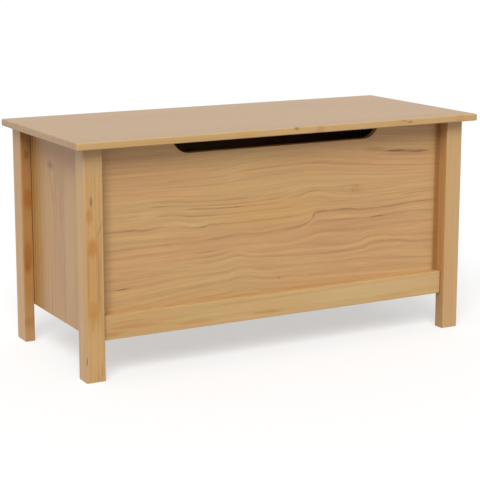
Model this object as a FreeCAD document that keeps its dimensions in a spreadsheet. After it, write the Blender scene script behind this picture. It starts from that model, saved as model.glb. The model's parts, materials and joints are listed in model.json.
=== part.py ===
import FreeCAD, Part
import os
import re
from types import SimpleNamespace
import Sketcher

# Storage box of pine boards: four legs, panels set in between them, a hinged lid and two folding stays.
# X runs along the width, Y from the front to the back and Z up; the origin is on the floor, under the middle.

# Driving dimensions in millimetres
SIZES = {
    # Body over its legs, without the lid
    "body_width": 1048.0,
    "body_depth": 452.0,
    "body_height": 545.0,
    # Boards of the four walls
    "board_thickness": 17.0,
    "panel_bottom": 96.0,
    "board_arris": 0.8,
    # Legs
    "front_leg_width": 47.0,
    "front_leg_depth": 30.0,
    "leg_cheek": 25.0,
    "rear_leg_depth": 56.0,
    "leg_round": 2.5,
    # Front rail
    "rail_bottom": 93.0,
    "rail_height": 58.0,
    "rail_setback": 12.0,
    "rail_arris": 1.5,
    # Finger slot in the top edge of the front panel
    "slot_flat": 486.0,
    "slot_radius": 45.0,
    "slot_depth": 33.0,
    # Lid
    "lid_thickness": 17.0,
    "lid_side_overhang": 26.0,
    "lid_front_overhang": 29.0,
    "lid_edge_round": 3.0,
    "lid_corner_round": 5.0,
    # Battens under the lid
    "lid_batten_end_play": 24.0,
    "lid_batten_width": 45.0,
    "lid_batten_thickness": 18.0,
    "lid_batten_inset": 152.0,
    # Floor and what carries it
    "floor_level": 118.0,
    "floor_thickness": 8.0,
    "floor_play": 1.0,
    "cleat_width": 18.0,
    "cleat_height": 20.0,
    # Corner battens inside
    "corner_batten": 20.0,
    "corner_batten_drop": 12.0,
    # Butt hinges
    "hinge_length": 60.0,
    "hinge_inset": 119.0,
    "leaf_width": 18.0,
    "leaf_thickness": 1.5,
    "knuckle_radius": 3.0,
    "knuckle_play": 0.3,
    "hinge_pin_radius": 1.25,
    "pin_play": 0.05,
    "pin_setback": 3.5,
    "mortise_play": 0.5,
    # Folding lid stays
    "stay_thickness": 2.5,
    "stay_width": 16.0,
    "stay_gap": 0.6,
    "stay_reach": 150.0,
    "stay_lid_drop": 14.0,
    "stay_foot_back": 56.0,
    "stay_foot_drop": 120.0,
    "elbow_play": 0.3,
    "rivet_radius": 2.5,
    "rivet_head_radius": 4.5,
    "rivet_head_height": 1.7,
    "rivet_play": 0.3,
    "side_bracket_width": 22.0,
    "side_bracket_height": 60.0,
    "bracket_round": 4.0,
    "lid_bracket_length": 44.0,
    "lid_bracket_width": 24.0,
    # Fasteners
    "screw_radius": 2.0,
    "screw_head_radius": 4.0,
    "small_screw_radius": 1.6,
    "small_screw_head_radius": 3.1,
    "small_screw_length": 14.0,
    "screw_bite": 11.0,
    "screw_play": 0.1,
    "screw_point": 3.0,
    "screw_stagger": 26.0,
    "recess_width": 0.9,
    "recess_span": 3.4,
    "recess_depth": 1.2,
    "dowel_radius": 4.0,
    "dowel_length": 40.0,
    # Length by which a cutting tool passes the face that it opens
    "overrun": 1.0,
}

# Sizes and places that follow from the driving dimensions
FOLLOWING = {
    "lid_width": "body_width + 2 * lid_side_overhang",
    "lid_rear_overhang": "pin_setback + knuckle_radius",
    "lid_depth": "lid_front_overhang + body_depth + lid_rear_overhang",
    "front_face": "lid_front_overhang - lid_depth / 2",
    "rear_face": "front_face + body_depth",
    "panel_front": "front_face + front_leg_depth",
    "front_inner": "panel_front + board_thickness",
    "back_inner": "rear_face - board_thickness",
    "side_outer": "body_width / 2 - leg_cheek",
    "side_inner": "side_outer - board_thickness",
    "panel_height": "body_height - panel_bottom",
    "long_panel_width": "2 * side_outer",
    "side_panel_length": "back_inner - front_inner",
    "front_leg_full_depth": "front_leg_depth + board_thickness",
    "rail_length": "body_width - 2 * front_leg_width",
    "rail_thickness": "front_leg_depth - rail_setback",
    "inner_width": "2 * side_inner",
    "floor_width": "inner_width - 2 * floor_play",
    "floor_depth": "side_panel_length - 2 * floor_play",
    "cleat_bottom": "floor_level - cleat_height",
    "side_cleat_length": "side_panel_length - 2 * cleat_width",
    "lid_batten_length": "side_panel_length - 2 * lid_batten_end_play",
    "lid_batten_offset": "side_inner - lid_batten_inset",
    "corner_batten_bottom": "floor_level + floor_thickness",
    "corner_batten_length": "body_height - corner_batten_drop - corner_batten_bottom",
    "hinge_offset": "side_outer - hinge_inset",
    "hinge_pin_depth": "rear_face + pin_setback",
    "hinge_pin_height": "body_height - knuckle_radius - knuckle_play",
    "stay_lid_depth": "hinge_pin_depth - stay_reach",
    "stay_lid_height": "body_height - stay_lid_drop",
    "stay_foot_depth": "hinge_pin_depth - stay_foot_back",
    "stay_foot_height": "hinge_pin_height - stay_foot_drop",
    "stay_lower_rise": "hinge_pin_height - stay_lid_height",
    "stay_elbow_depth": "stay_lid_depth - stay_foot_back",
    "stay_elbow_height": "stay_lid_height - stay_foot_drop",
    "stay_end_radius": "stay_width / 2",
    "elbow_hole_radius": "rivet_radius + elbow_play",
    "pivot_hole_radius": "rivet_radius + pin_play",
    "lower_arm_outer": "side_inner - stay_thickness - stay_gap",
    "lower_arm_inner": "lower_arm_outer - stay_thickness",
    "upper_arm_outer": "lower_arm_inner - stay_gap",
    "upper_arm_inner": "upper_arm_outer - stay_thickness",
}

# Places of repeated fasteners, as shares of the length that they are spread over
knuckle_count = 5
hinge_screw_shares = (-0.36, 0.0, 0.36)
batten_screw_shares = (-0.4, 0.0, 0.4)
corner_screw_shares = (0.1, 0.48, 0.86)
long_cleat_screw_shares = (-0.84, -0.3, 0.3, 0.84)
side_cleat_screw_shares = (0.22, 0.78)
rear_leg_screw_shares = (0.14, 0.42, 0.92)
dowel_height_shares = (0.28, 0.72)
bracket_screw_shares = (-0.34, 0.34)
LEFT = -1
RIGHT = 1

document = FreeCAD.newDocument("storage_box")
X_AXIS = FreeCAD.Vector(1, 0, 0)
Y_AXIS = FreeCAD.Vector(0, 1, 0)
Z_AXIS = FreeCAD.Vector(0, 0, 1)

# The sheet holds the driving dimensions, and the variable set holds what follows from them
sheet = document.addObject("Spreadsheet::Sheet", "sizes")
for row, (name, number) in enumerate(SIZES.items(), start=1):
    sheet.set("A%d" % row, name.replace("_", " "))
    sheet.set("B%d" % row, str(number))
    sheet.setAlias("B%d" % row, name)
places = document.addObject("App::VarSet", "places")
HOLDERS = dict.fromkeys(SIZES, "sizes")
HOLDERS.update(dict.fromkeys(FOLLOWING, "places"))


def linked(expression):
    """The expression with each named size led by the object that holds it."""
    return re.sub(r"[a-z]+(?:_[a-z]+)+|overrun", lambda word: HOLDERS[word.group()] + "." + word.group(), expression)


document.recompute()
for name, expression in FOLLOWING.items():
    places.addProperty("App::PropertyFloat", name, "Following")
    places.setExpression(name, linked(expression))
document.recompute()

# The same sizes as plain numbers, for shapes that are made by code
size = SimpleNamespace()
for name in SIZES:
    setattr(size, name, float(sheet.get(name)))
for name in FOLLOWING:
    setattr(size, name, float(getattr(places, name)))

pieces = []


def bind(item, **expressions):
    """Tie properties of an object to named sizes."""
    for name, expression in expressions.items():
        item.setExpression(name, linked(expression))


def place(item, x, y, z):
    """Tie an object's place to named sizes."""
    item.setExpression("Placement.Base.x", linked(x))
    item.setExpression("Placement.Base.y", linked(y))
    item.setExpression("Placement.Base.z", linked(z))


def piece(label, item):
    """Name an object as a finished sub-part."""
    item.Label = label
    pieces.append(item)
    return item


def origin_plane(body, role):
    """The body's own origin plane with that role."""
    return [feature for feature in body.Origin.OriginFeatures if feature.Role == role][0]


def new_sketch(body, role):
    """A sketch on one of the body's origin planes."""
    sketch = body.newObject("Sketcher::SketchObject", body.Name + "_outline")
    sketch.AttachmentSupport = [(origin_plane(body, role), "")]
    sketch.MapMode = "FlatFace"
    return sketch


def dimension(sketch, kind, *references_and_name):
    """A dimension of a sketch that follows a named size."""
    references = references_and_name[:-1]
    name = references_and_name[-1]
    index = sketch.addConstraint(Sketcher.Constraint(kind, *references, getattr(size, name)))
    sketch.renameConstraint(index, "%s_%d" % (name, index))
    bind(sketch, **{"Constraints.%s_%d" % (name, index): name})


def polygon_sketch(body, role, points, dimensions):
    """A closed outline of upright and level lines through points, with the first one at the origin."""
    sketch = new_sketch(body, role)
    count = len(points)
    for index in range(count):
        start = FreeCAD.Vector(*points[index], 0)
        end = FreeCAD.Vector(*points[(index + 1) % count], 0)
        sketch.addGeometry(Part.LineSegment(start, end), False)
    for index in range(count):
        sketch.addConstraint(Sketcher.Constraint("Coincident", index, 2, (index + 1) % count, 1))
        sketch.addConstraint(Sketcher.Constraint("Vertical" if index % 2 else "Horizontal", index))
    sketch.addConstraint(Sketcher.Constraint("Coincident", 0, 1, -1, 1))
    for kind, line, name in dimensions:
        dimension(sketch, kind, line, 1, line, 2, name)
    return sketch


def rectangle_sketch(body, role, width, height):
    """A rectangle from the origin, with its two sides given as named sizes."""
    across = getattr(size, width)
    up = getattr(size, height)
    corners = [(0, 0), (across, 0), (across, up), (0, up)]
    return polygon_sketch(body, role, corners, [("DistanceX", 0, width), ("DistanceY", 1, height)])


def padded(body, sketch, length):
    """The sketch padded by a named length."""
    pad = body.newObject("PartDesign::Pad", body.Name + "_pad")
    pad.Profile = sketch
    bind(pad, Length=length)
    document.recompute()
    return pad


def dressed(body, kind, feature, edges, amount):
    """A fillet or chamfer of a named size on some edges of a body's last feature."""
    dressing = body.newObject("PartDesign::" + kind, body.Name + "_" + kind.lower())
    dressing.Base = (feature, edges)
    bind(dressing, **{"Radius" if kind == "Fillet" else "Size": amount})
    document.recompute()
    return dressing


def edges_where(shape, test):
    """Names of the edges for which a test of their box holds."""
    return ["Edge%d" % index for index, edge in enumerate(shape.Edges, start=1) if test(edge.BoundBox)]


def is_upright(box):
    """Whether an edge with this box stands upright."""
    return box.ZLength > box.XLength + box.YLength


def board(label, width, depth, height, x, y, z, arris="board_arris"):
    """A squared board with every arris taken off, from its named sizes and the place of its low corner."""
    body = document.addObject("PartDesign::Body", label + "_blank")
    pad = padded(body, rectangle_sketch(body, "XY_Plane", width, depth), height)
    dressed(body, "Chamfer", pad, edges_where(pad.Shape, lambda box: True), arris)
    place(body, x, y, z)
    return body


def mirrored(label, source):
    """The right-hand twin of a left-hand object."""
    twin = document.addObject("Part::Mirroring", label)
    twin.Source = source
    twin.Normal = X_AXIS
    return twin


def drilled(label, base, tools):
    """A finished sub-part: a blank with tools taken away."""
    bundle = document.addObject("Part::Compound", label + "_tools")
    bundle.Links = tools
    cut = document.addObject("Part::Cut", label + "_cut")
    cut.Base = base
    cut.Tool = bundle
    return piece(label, cut)


def block(label, width, depth, height, x, y, z):
    """A plain block from named sizes and the place of its low corner."""
    box = document.addObject("Part::Box", label)
    bind(box, Length=width, Width=depth, Height=height)
    place(box, x, y, z)
    return box


def round_bar(label, radius, length, x, y, z, towards=X_AXIS):
    """A round bar from its radius, length and the place of its first end."""
    bar = document.addObject("Part::Cylinder", label)
    bind(bar, Radius=radius, Height=length)
    bar.Placement.Rotation = FreeCAD.Rotation(Z_AXIS, towards)
    place(bar, x, y, z)
    return bar


def fused(label, items):
    """One solid of several that touch."""
    whole = document.addObject("Part::MultiFuse", label)
    whole.Shapes = items
    whole.Refine = True
    return whole


# Screws and dowels

def site(x, y, z, towards):
    """Where a fastener starts and the way it is driven."""
    return FreeCAD.Placement(FreeCAD.Vector(x, y, z), FreeCAD.Rotation(Z_AXIS, towards))


def turned(profile):
    """A solid turned about Z from points given as radius and height."""
    points = [FreeCAD.Vector(radius, 0, height) for radius, height in profile]
    face = Part.Face(Part.makePolygon(points + points[:1]))
    return face.revolve(FreeCAD.Vector(), Z_AXIS, 360)


def screw_shape(length, radius, head_radius):
    """A countersunk screw with a cross recess, driven along Z from the top of its head."""
    head = head_radius - radius
    profile = [(0, 0), (head_radius, 0), (radius, head), (radius, length - size.screw_point), (0, length)]
    bar = Part.makeBox(size.recess_span, size.recess_width, size.recess_depth + size.overrun)
    bar.translate(FreeCAD.Vector(-size.recess_span / 2, -size.recess_width / 2, -size.overrun))
    cross = bar.copy()
    cross.rotate(FreeCAD.Vector(), Z_AXIS, 90)
    return turned(profile).cut([bar, cross])


def screw_hole_shape(length, radius, head_radius):
    """The countersunk hole that a screw sits in, with play all round."""
    wide = head_radius + size.screw_play
    narrow = radius + size.screw_play
    end = length + size.screw_play
    profile = [(0, -size.overrun), (wide, -size.overrun), (wide, 0), (narrow, wide - narrow), (narrow, end), (0, end)]
    return turned(profile)


def group(label, shape, sites):
    """Copies of one shape at several sites, as one object of separate solids."""
    feature = document.addObject("Part::Feature", label)
    copies = []
    for where in sites:
        copy = shape.copy()
        copy.Placement = where
        copies.append(copy)
    feature.Shape = Part.makeCompound(copies)
    return feature


def screws(label, length, sites, small=False):
    """A group of like screws as a sub-part, and the holes that they need."""
    radius = size.small_screw_radius if small else size.screw_radius
    head_radius = size.small_screw_head_radius if small else size.screw_head_radius
    piece(label, group(label, screw_shape(length, radius, head_radius), sites))
    return group(label + "_holes", screw_hole_shape(length, radius, head_radius), sites)


hinge_screw_depth = size.hinge_pin_depth - (size.leaf_width + size.knuckle_radius) / 2
hinge_screw_places = []
for side in (LEFT, RIGHT):
    for share in hinge_screw_shares:
        hinge_screw_places.append((side * size.hinge_offset + share * size.hinge_length, hinge_screw_depth))

body_leaf_top = size.hinge_pin_height - size.knuckle_radius + size.leaf_thickness
hinge_body_screw_sites = [site(x, y, body_leaf_top, -Z_AXIS) for x, y in hinge_screw_places]
hinge_body_holes = screws("hinge_body_screws", size.small_screw_length, hinge_body_screw_sites, small=True)

lid_leaf_bottom = size.body_height - size.leaf_thickness
hinge_lid_screw_sites = [site(x, y, lid_leaf_bottom, Z_AXIS) for x, y in hinge_screw_places]
hinge_lid_holes = screws("hinge_lid_screws", size.small_screw_length, hinge_lid_screw_sites, small=True)

lid_batten_middle = (size.front_inner + size.back_inner) / 2
lid_batten_screw_sites = []
for side in (LEFT, RIGHT):
    for share in batten_screw_shares:
        along = lid_batten_middle + share * size.lid_batten_length
        low = size.body_height - size.lid_batten_thickness
        lid_batten_screw_sites.append(site(side * size.lid_batten_offset, along, low, Z_AXIS))
lid_batten_screw_length = size.lid_batten_thickness + size.screw_bite
lid_batten_holes = screws("lid_batten_screws", lid_batten_screw_length, lid_batten_screw_sites)

# Each corner batten is screwed to the long panel and, a little higher, to the side panel
corner_screw_sites = []
for side in (LEFT, RIGHT):
    for face, backwards in ((size.front_inner, 1), (size.back_inner, -1)):
        for share in corner_screw_shares:
            height = size.corner_batten_bottom + share * size.corner_batten_length
            middle = side * (size.side_inner - size.corner_batten / 2)
            start = face + backwards * size.corner_batten
            corner_screw_sites.append(site(middle, start, height, -backwards * Y_AXIS))
            start = side * (size.side_inner - size.corner_batten)
            middle = face + backwards * size.corner_batten / 2
            corner_screw_sites.append(site(start, middle, height + size.screw_stagger, side * X_AXIS))
corner_holes = screws("corner_batten_screws", size.corner_batten + size.screw_bite, corner_screw_sites)

# The front cleat's screws reach through the front panel into the rail
cleat_middle = size.floor_level - size.cleat_height / 2
front_cleat_screw_sites = []
cleat_screw_sites = []
for share in long_cleat_screw_shares:
    across = share * size.side_inner
    front_cleat_screw_sites.append(site(across, size.front_inner + size.cleat_width, cleat_middle, -Y_AXIS))
    cleat_screw_sites.append(site(across, size.back_inner - size.cleat_width, cleat_middle, Y_AXIS))
for side in (LEFT, RIGHT):
    for share in side_cleat_screw_shares:
        along = size.front_inner + share * size.side_panel_length
        start = side * (size.side_inner - size.cleat_width)
        cleat_screw_sites.append(site(start, along, cleat_middle, side * X_AXIS))
rail_screw_length = size.cleat_width + size.board_thickness + size.screw_bite
rail_holes = screws("rail_screws", rail_screw_length, front_cleat_screw_sites)
cleat_holes = screws("cleat_screws", size.cleat_width + size.screw_bite, cleat_screw_sites)

# The rear legs are screwed on from inside, just in front of the corner battens
rear_leg_screw_sites = []
rear_leg_front = size.rear_face - size.rear_leg_depth
rear_screw_depth = (rear_leg_front + size.back_inner - size.corner_batten) / 2
for side in (LEFT, RIGHT):
    for share in rear_leg_screw_shares:
        height = size.panel_bottom + share * size.panel_height
        rear_leg_screw_sites.append(site(side * size.side_inner, rear_screw_depth, height, side * X_AXIS))
rear_leg_holes = screws("rear_leg_screws", size.board_thickness + size.screw_bite, rear_leg_screw_sites)

# Stay brackets
bracket_face = size.side_inner - size.stay_thickness
stay_side_screw_sites = []
stay_lid_screw_sites = []
lid_flange_middle = size.lower_arm_outer - size.lid_bracket_width + size.screw_head_radius
lid_flange_bottom = size.body_height - size.stay_thickness
for side in (LEFT, RIGHT):
    for share in bracket_screw_shares:
        height = size.stay_foot_height + share * size.side_bracket_height
        stay_side_screw_sites.append(site(side * bracket_face, size.stay_foot_depth, height, side * X_AXIS))
        along = size.stay_lid_depth + share * size.lid_bracket_length
        stay_lid_screw_sites.append(site(side * lid_flange_middle, along, lid_flange_bottom, Z_AXIS))
stay_side_holes = screws("stay_side_screws", size.small_screw_length, stay_side_screw_sites, small=True)
stay_lid_holes = screws("stay_lid_screws", size.small_screw_length, stay_lid_screw_sites, small=True)

# Dowels join the rail to the front legs
dowel_sites = []
for side in (LEFT, RIGHT):
    for share in dowel_height_shares:
        start = side * (size.rail_length / 2 - size.dowel_length / 2)
        middle = size.panel_front - size.rail_thickness / 2
        height = size.rail_bottom + share * size.rail_height
        dowel_sites.append(site(start, middle, height, side * X_AXIS))
dowel_shape = Part.makeCylinder(size.dowel_radius, size.dowel_length)
piece("rail_dowels", group("rail_dowels", dowel_shape, dowel_sites))
dowel_hole_length = size.dowel_length + 2 * size.screw_play
dowel_hole_start = FreeCAD.Vector(0, 0, -size.screw_play)
dowel_hole_shape = Part.makeCylinder(size.dowel_radius + size.screw_play, dowel_hole_length, dowel_hole_start)
dowel_holes = group("rail_dowel_holes", dowel_hole_shape, dowel_sites)

# Front legs: a post with a thinner cheek behind it, so that the front panel ends in the corner between them

front_leg = document.addObject("PartDesign::Body", "front_left_leg_blank")
front_leg_points = [
    (0, 0),
    (size.front_leg_width, 0),
    (size.front_leg_width, size.front_leg_depth),
    (size.leg_cheek, size.front_leg_depth),
    (size.leg_cheek, size.front_leg_full_depth),
    (0, size.front_leg_full_depth),
]
front_leg_sketch = polygon_sketch(
    front_leg, "XY_Plane", front_leg_points,
    [("DistanceX", 0, "front_leg_width"), ("DistanceY", 1, "front_leg_depth"), ("DistanceY", 3, "board_thickness")])
dimension(front_leg_sketch, "DistanceX", 4, 2, 4, 1, "leg_cheek")
front_leg_pad = padded(front_leg, front_leg_sketch, "body_height")


def is_outer_leg_edge(box):
    """Whether an upright edge of the front leg's section is free, not in the corner that holds the panel."""
    near_front = box.YMax < size.front_leg_depth / 2
    outer_rear = box.YMax > size.front_leg_full_depth - size.leg_round and box.XMax < size.leg_cheek / 2
    return is_upright(box) and (near_front or outer_rear)


dressed(front_leg, "Fillet", front_leg_pad, edges_where(front_leg_pad.Shape, is_outer_leg_edge), "leg_round")
place(front_leg, "-body_width / 2", "front_face", "0")
drilled("front_left_leg", front_leg, [dowel_holes])
drilled("front_right_leg", mirrored("front_right_leg_blank", front_leg), [dowel_holes])

# Rear legs: planks with their wide face to the side

rear_leg = document.addObject("PartDesign::Body", "rear_left_leg_blank")
rear_leg_pad = padded(rear_leg, rectangle_sketch(rear_leg, "XY_Plane", "leg_cheek", "rear_leg_depth"), "body_height")


def is_outer_rear_leg_edge(box):
    """Whether an upright edge of the rear leg is on its outer face."""
    return is_upright(box) and box.XMax < size.leg_cheek / 2


dressed(rear_leg, "Fillet", rear_leg_pad, edges_where(rear_leg_pad.Shape, is_outer_rear_leg_edge), "leg_round")
place(rear_leg, "-body_width / 2", "rear_face - rear_leg_depth", "0")
drilled("rear_left_leg", rear_leg, [rear_leg_holes])
drilled("rear_right_leg", mirrored("rear_right_leg_blank", rear_leg), [rear_leg_holes])

# Front panel, with the finger slot in its top edge

front_panel = document.addObject("PartDesign::Body", "front_panel_blank")
half_panel = size.side_outer
panel_top = size.panel_height
slot_bottom = panel_top - size.slot_depth
slot_half_flat = size.slot_flat / 2
slot_centre_height = slot_bottom + size.slot_radius
slot_reach = (size.slot_radius ** 2 - (size.slot_radius - size.slot_depth) ** 2) ** 0.5
slot_half_mouth = slot_half_flat + slot_reach


def slot_arc(side):
    """The rounded corner at one end of the slot."""
    centre = FreeCAD.Vector(side * slot_half_flat, slot_centre_height, 0)
    mouth = FreeCAD.Vector(side * slot_half_mouth, panel_top, 0)
    foot = FreeCAD.Vector(side * slot_half_flat, slot_bottom, 0)
    slant = FreeCAD.Vector(side, -1, 0).normalize()
    return Part.Arc(mouth, centre + slant * size.slot_radius, foot)


def flat_line(first, second):
    """A line of the sketch between two points given by their coordinates."""
    return Part.LineSegment(FreeCAD.Vector(*first, 0), FreeCAD.Vector(*second, 0))


front_sketch = new_sketch(front_panel, "XZ_Plane")
front_sketch.addGeometry(flat_line((-half_panel, 0), (half_panel, 0)), False)
front_sketch.addGeometry(flat_line((half_panel, 0), (half_panel, panel_top)), False)
front_sketch.addGeometry(flat_line((half_panel, panel_top), (slot_half_mouth, panel_top)), False)
front_sketch.addGeometry(slot_arc(RIGHT), False)
front_sketch.addGeometry(flat_line((slot_half_flat, slot_bottom), (-slot_half_flat, slot_bottom)), False)
front_sketch.addGeometry(slot_arc(LEFT), False)
front_sketch.addGeometry(flat_line((-slot_half_mouth, panel_top), (-half_panel, panel_top)), False)
front_sketch.addGeometry(flat_line((-half_panel, panel_top), (-half_panel, 0)), False)
for first, first_end, second, second_end in ((0, 2, 1, 1), (1, 2, 2, 1), (6, 2, 7, 1), (7, 2, 0, 1)):
    front_sketch.addConstraint(Sketcher.Constraint("Coincident", first, first_end, second, second_end))
# The right arc starts at its foot and ends at its mouth, the left one starts at its mouth
front_sketch.addConstraint(Sketcher.Constraint("Coincident", 2, 2, 3, 2))
front_sketch.addConstraint(Sketcher.Constraint("Tangent", 3, 1, 4, 1))
front_sketch.addConstraint(Sketcher.Constraint("Tangent", 4, 2, 5, 2))
front_sketch.addConstraint(Sketcher.Constraint("Coincident", 5, 1, 6, 1))
for line in (0, 2, 6):
    front_sketch.addConstraint(Sketcher.Constraint("Horizontal", line))
for line in (1, 7):
    front_sketch.addConstraint(Sketcher.Constraint("Vertical", line))
front_sketch.addConstraint(Sketcher.Constraint("Symmetric", 0, 1, 0, 2, -1, 1))
front_sketch.addConstraint(Sketcher.Constraint("Symmetric", 4, 1, 4, 2, -2))
front_sketch.addConstraint(Sketcher.Constraint("Equal", 1, 7))
front_sketch.addConstraint(Sketcher.Constraint("Equal", 3, 5))
dimension(front_sketch, "DistanceX", 0, 1, 0, 2, "long_panel_width")
dimension(front_sketch, "DistanceY", 1, 1, 1, 2, "panel_height")
dimension(front_sketch, "DistanceX", 4, 2, 4, 1, "slot_flat")
dimension(front_sketch, "DistanceY", 4, 1, 2, 2, "slot_depth")
dimension(front_sketch, "Radius", 3, "slot_radius")
front_pad = padded(front_panel, front_sketch, "board_thickness")


def is_slot_edge(box):
    """Whether an edge of the front panel is part of the slot's rim."""
    inside = box.XMin > -slot_half_mouth - size.board_arris and box.XMax < slot_half_mouth + size.board_arris
    return inside and box.ZMin > slot_bottom - size.board_arris and box.YLength < size.board_arris


dressed(front_panel, "Fillet", front_pad, edges_where(front_pad.Shape, is_slot_edge), "rail_arris")
place(front_panel, "0", "front_inner", "panel_bottom")
drilled("front_panel", front_panel, [corner_holes, rail_holes])

# Front rail, set back from the legs' faces and lying on the front panel

rail = board("front_rail", "rail_length", "rail_thickness", "rail_height",
             "-rail_length / 2", "front_face + rail_setback", "rail_bottom", arris="rail_arris")
drilled("front_rail", rail, [dowel_holes, rail_holes])

# Back panel, with a mortise in its top edge for each hinge

back_panel = board("back_panel", "long_panel_width", "board_thickness", "panel_height",
                   "-side_outer", "back_inner", "panel_bottom")
mortises = []
for side_word, sign in (("left", "-"), ("right", "")):
    mortise = block(side_word + "_hinge_mortise",
                    "hinge_length + 2 * mortise_play",
                    "leaf_width + mortise_play + overrun",
                    "2 * knuckle_radius + knuckle_play + overrun",
                    sign + "hinge_offset - hinge_length / 2 - mortise_play",
                    "hinge_pin_depth - leaf_width - mortise_play",
                    "hinge_pin_height - knuckle_radius")
    mortises.append(mortise)
drilled("back_panel", back_panel, mortises + [hinge_body_holes, corner_holes, cleat_holes])

# Side panels

side_panel = board("left_side_panel", "board_thickness", "side_panel_length", "panel_height",
                   "-side_outer", "front_inner", "panel_bottom")
side_panel_holes = [corner_holes, cleat_holes, rear_leg_holes, stay_side_holes]
drilled("left_side_panel", side_panel, side_panel_holes)
drilled("right_side_panel", mirrored("right_side_panel_blank", side_panel), side_panel_holes)

# Floor panel and the cleats that carry it

floor_panel = board("floor_panel", "floor_width", "floor_depth", "floor_thickness",
                    "-floor_width / 2", "front_inner + floor_play", "floor_level")
piece("floor_panel", floor_panel)
front_cleat = board("front_floor_cleat", "inner_width", "cleat_width", "cleat_height",
                    "-side_inner", "front_inner", "cleat_bottom")
drilled("front_floor_cleat", front_cleat, [rail_holes])
back_cleat = board("back_floor_cleat", "inner_width", "cleat_width", "cleat_height",
                   "-side_inner", "back_inner - cleat_width", "cleat_bottom")
drilled("back_floor_cleat", back_cleat, [cleat_holes])
side_cleat = board("left_floor_cleat", "cleat_width", "side_cleat_length", "cleat_height",
                   "-side_inner", "front_inner + cleat_width", "cleat_bottom")
drilled("left_floor_cleat", side_cleat, [cleat_holes])
drilled("right_floor_cleat", mirrored("right_floor_cleat_blank", side_cleat), [cleat_holes])

# Corner battens, standing on the floor panel

for end_word, near_edge in (("front", "front_inner"), ("rear", "back_inner - corner_batten")):
    batten = board(end_word + "_left_corner_batten", "corner_batten", "corner_batten", "corner_batten_length",
                   "-side_inner", near_edge, "corner_batten_bottom")
    drilled(end_word + "_left_corner_batten", batten, [corner_holes])
    twin = mirrored(end_word + "_right_corner_batten_blank", batten)
    drilled(end_word + "_right_corner_batten", twin, [corner_holes])

# Lid panel and the battens that keep it flat

lid = document.addObject("PartDesign::Body", "lid_panel_blank")
lid_pad = padded(lid, rectangle_sketch(lid, "XY_Plane", "lid_width", "lid_depth"), "lid_thickness")
lid_corners = dressed(lid, "Fillet", lid_pad, edges_where(lid_pad.Shape, is_upright), "lid_corner_round")
lid_rim = edges_where(lid_corners.Shape, lambda box: not is_upright(box))
dressed(lid, "Fillet", lid_corners, lid_rim, "lid_edge_round")
place(lid, "-lid_width / 2", "-lid_depth / 2", "body_height")
drilled("lid_panel", lid, [hinge_lid_holes, lid_batten_holes, stay_lid_holes])

lid_batten = board("left_lid_batten", "lid_batten_width", "lid_batten_length", "lid_batten_thickness",
                   "-lid_batten_offset - lid_batten_width / 2",
                   "front_inner + lid_batten_end_play",
                   "body_height - lid_batten_thickness", arris="rail_arris")
drilled("left_lid_batten", lid_batten, [lid_batten_holes])
drilled("right_lid_batten", mirrored("right_lid_batten_blank", lid_batten), [lid_batten_holes])

# Butt hinges: the knuckles lie under the lid's rear overhang, behind the back panel

knuckle_pitch = size.hinge_length / knuckle_count


def hinge_leaf(label, word, parity, plate_height):
    """One leaf of the left hinge: its plate, and every second knuckle with the strap that holds it."""
    start = "-hinge_offset - hinge_length / 2"
    reach = "leaf_width - knuckle_radius - knuckle_play"
    parts = [block(label + "_plate", "hinge_length", reach, "leaf_thickness",
                   start, "hinge_pin_depth - leaf_width", plate_height)]
    for index in range(parity, knuckle_count, 2):
        low = "%s + %d * hinge_length / %d + knuckle_play / 2" % (start, index, knuckle_count)
        length = "hinge_length / %d - knuckle_play" % knuckle_count
        parts.append(block("%s_strap_%d" % (label, index), length, "leaf_width", "leaf_thickness",
                           low, "hinge_pin_depth - leaf_width", plate_height))
        parts.append(round_bar("%s_knuckle_%d" % (label, index), "knuckle_radius", length,
                               low, "hinge_pin_depth", "hinge_pin_height"))
    bore = round_bar(label + "_bore", "hinge_pin_radius + pin_play", "hinge_length + 2 * overrun",
                     start + " - overrun", "hinge_pin_depth", "hinge_pin_height")
    solid = fused(label + "_solid", parts)
    holes = {"body": hinge_body_holes, "lid": hinge_lid_holes}[word]
    drilled(label, solid, [bore, holes])
    drilled(label.replace("left", "right"), mirrored(label.replace("left", "right") + "_solid", solid),
            [mirrored(label.replace("left", "right") + "_bore", bore), holes])


hinge_leaf("left_hinge_body_leaf", "body", 0, "hinge_pin_height - knuckle_radius")
hinge_leaf("left_hinge_lid_leaf", "lid", 1, "body_height - leaf_thickness")
hinge_pin = piece("left_hinge_pin", round_bar("left_hinge_pin", "hinge_pin_radius", "hinge_length",
                                              "-hinge_offset - hinge_length / 2",
                                              "hinge_pin_depth", "hinge_pin_height"))
piece("right_hinge_pin", mirrored("right_hinge_pin", hinge_pin))

# Folding lid stays, in layers inwards from the side panel: bracket, lower arm, upper arm


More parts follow.
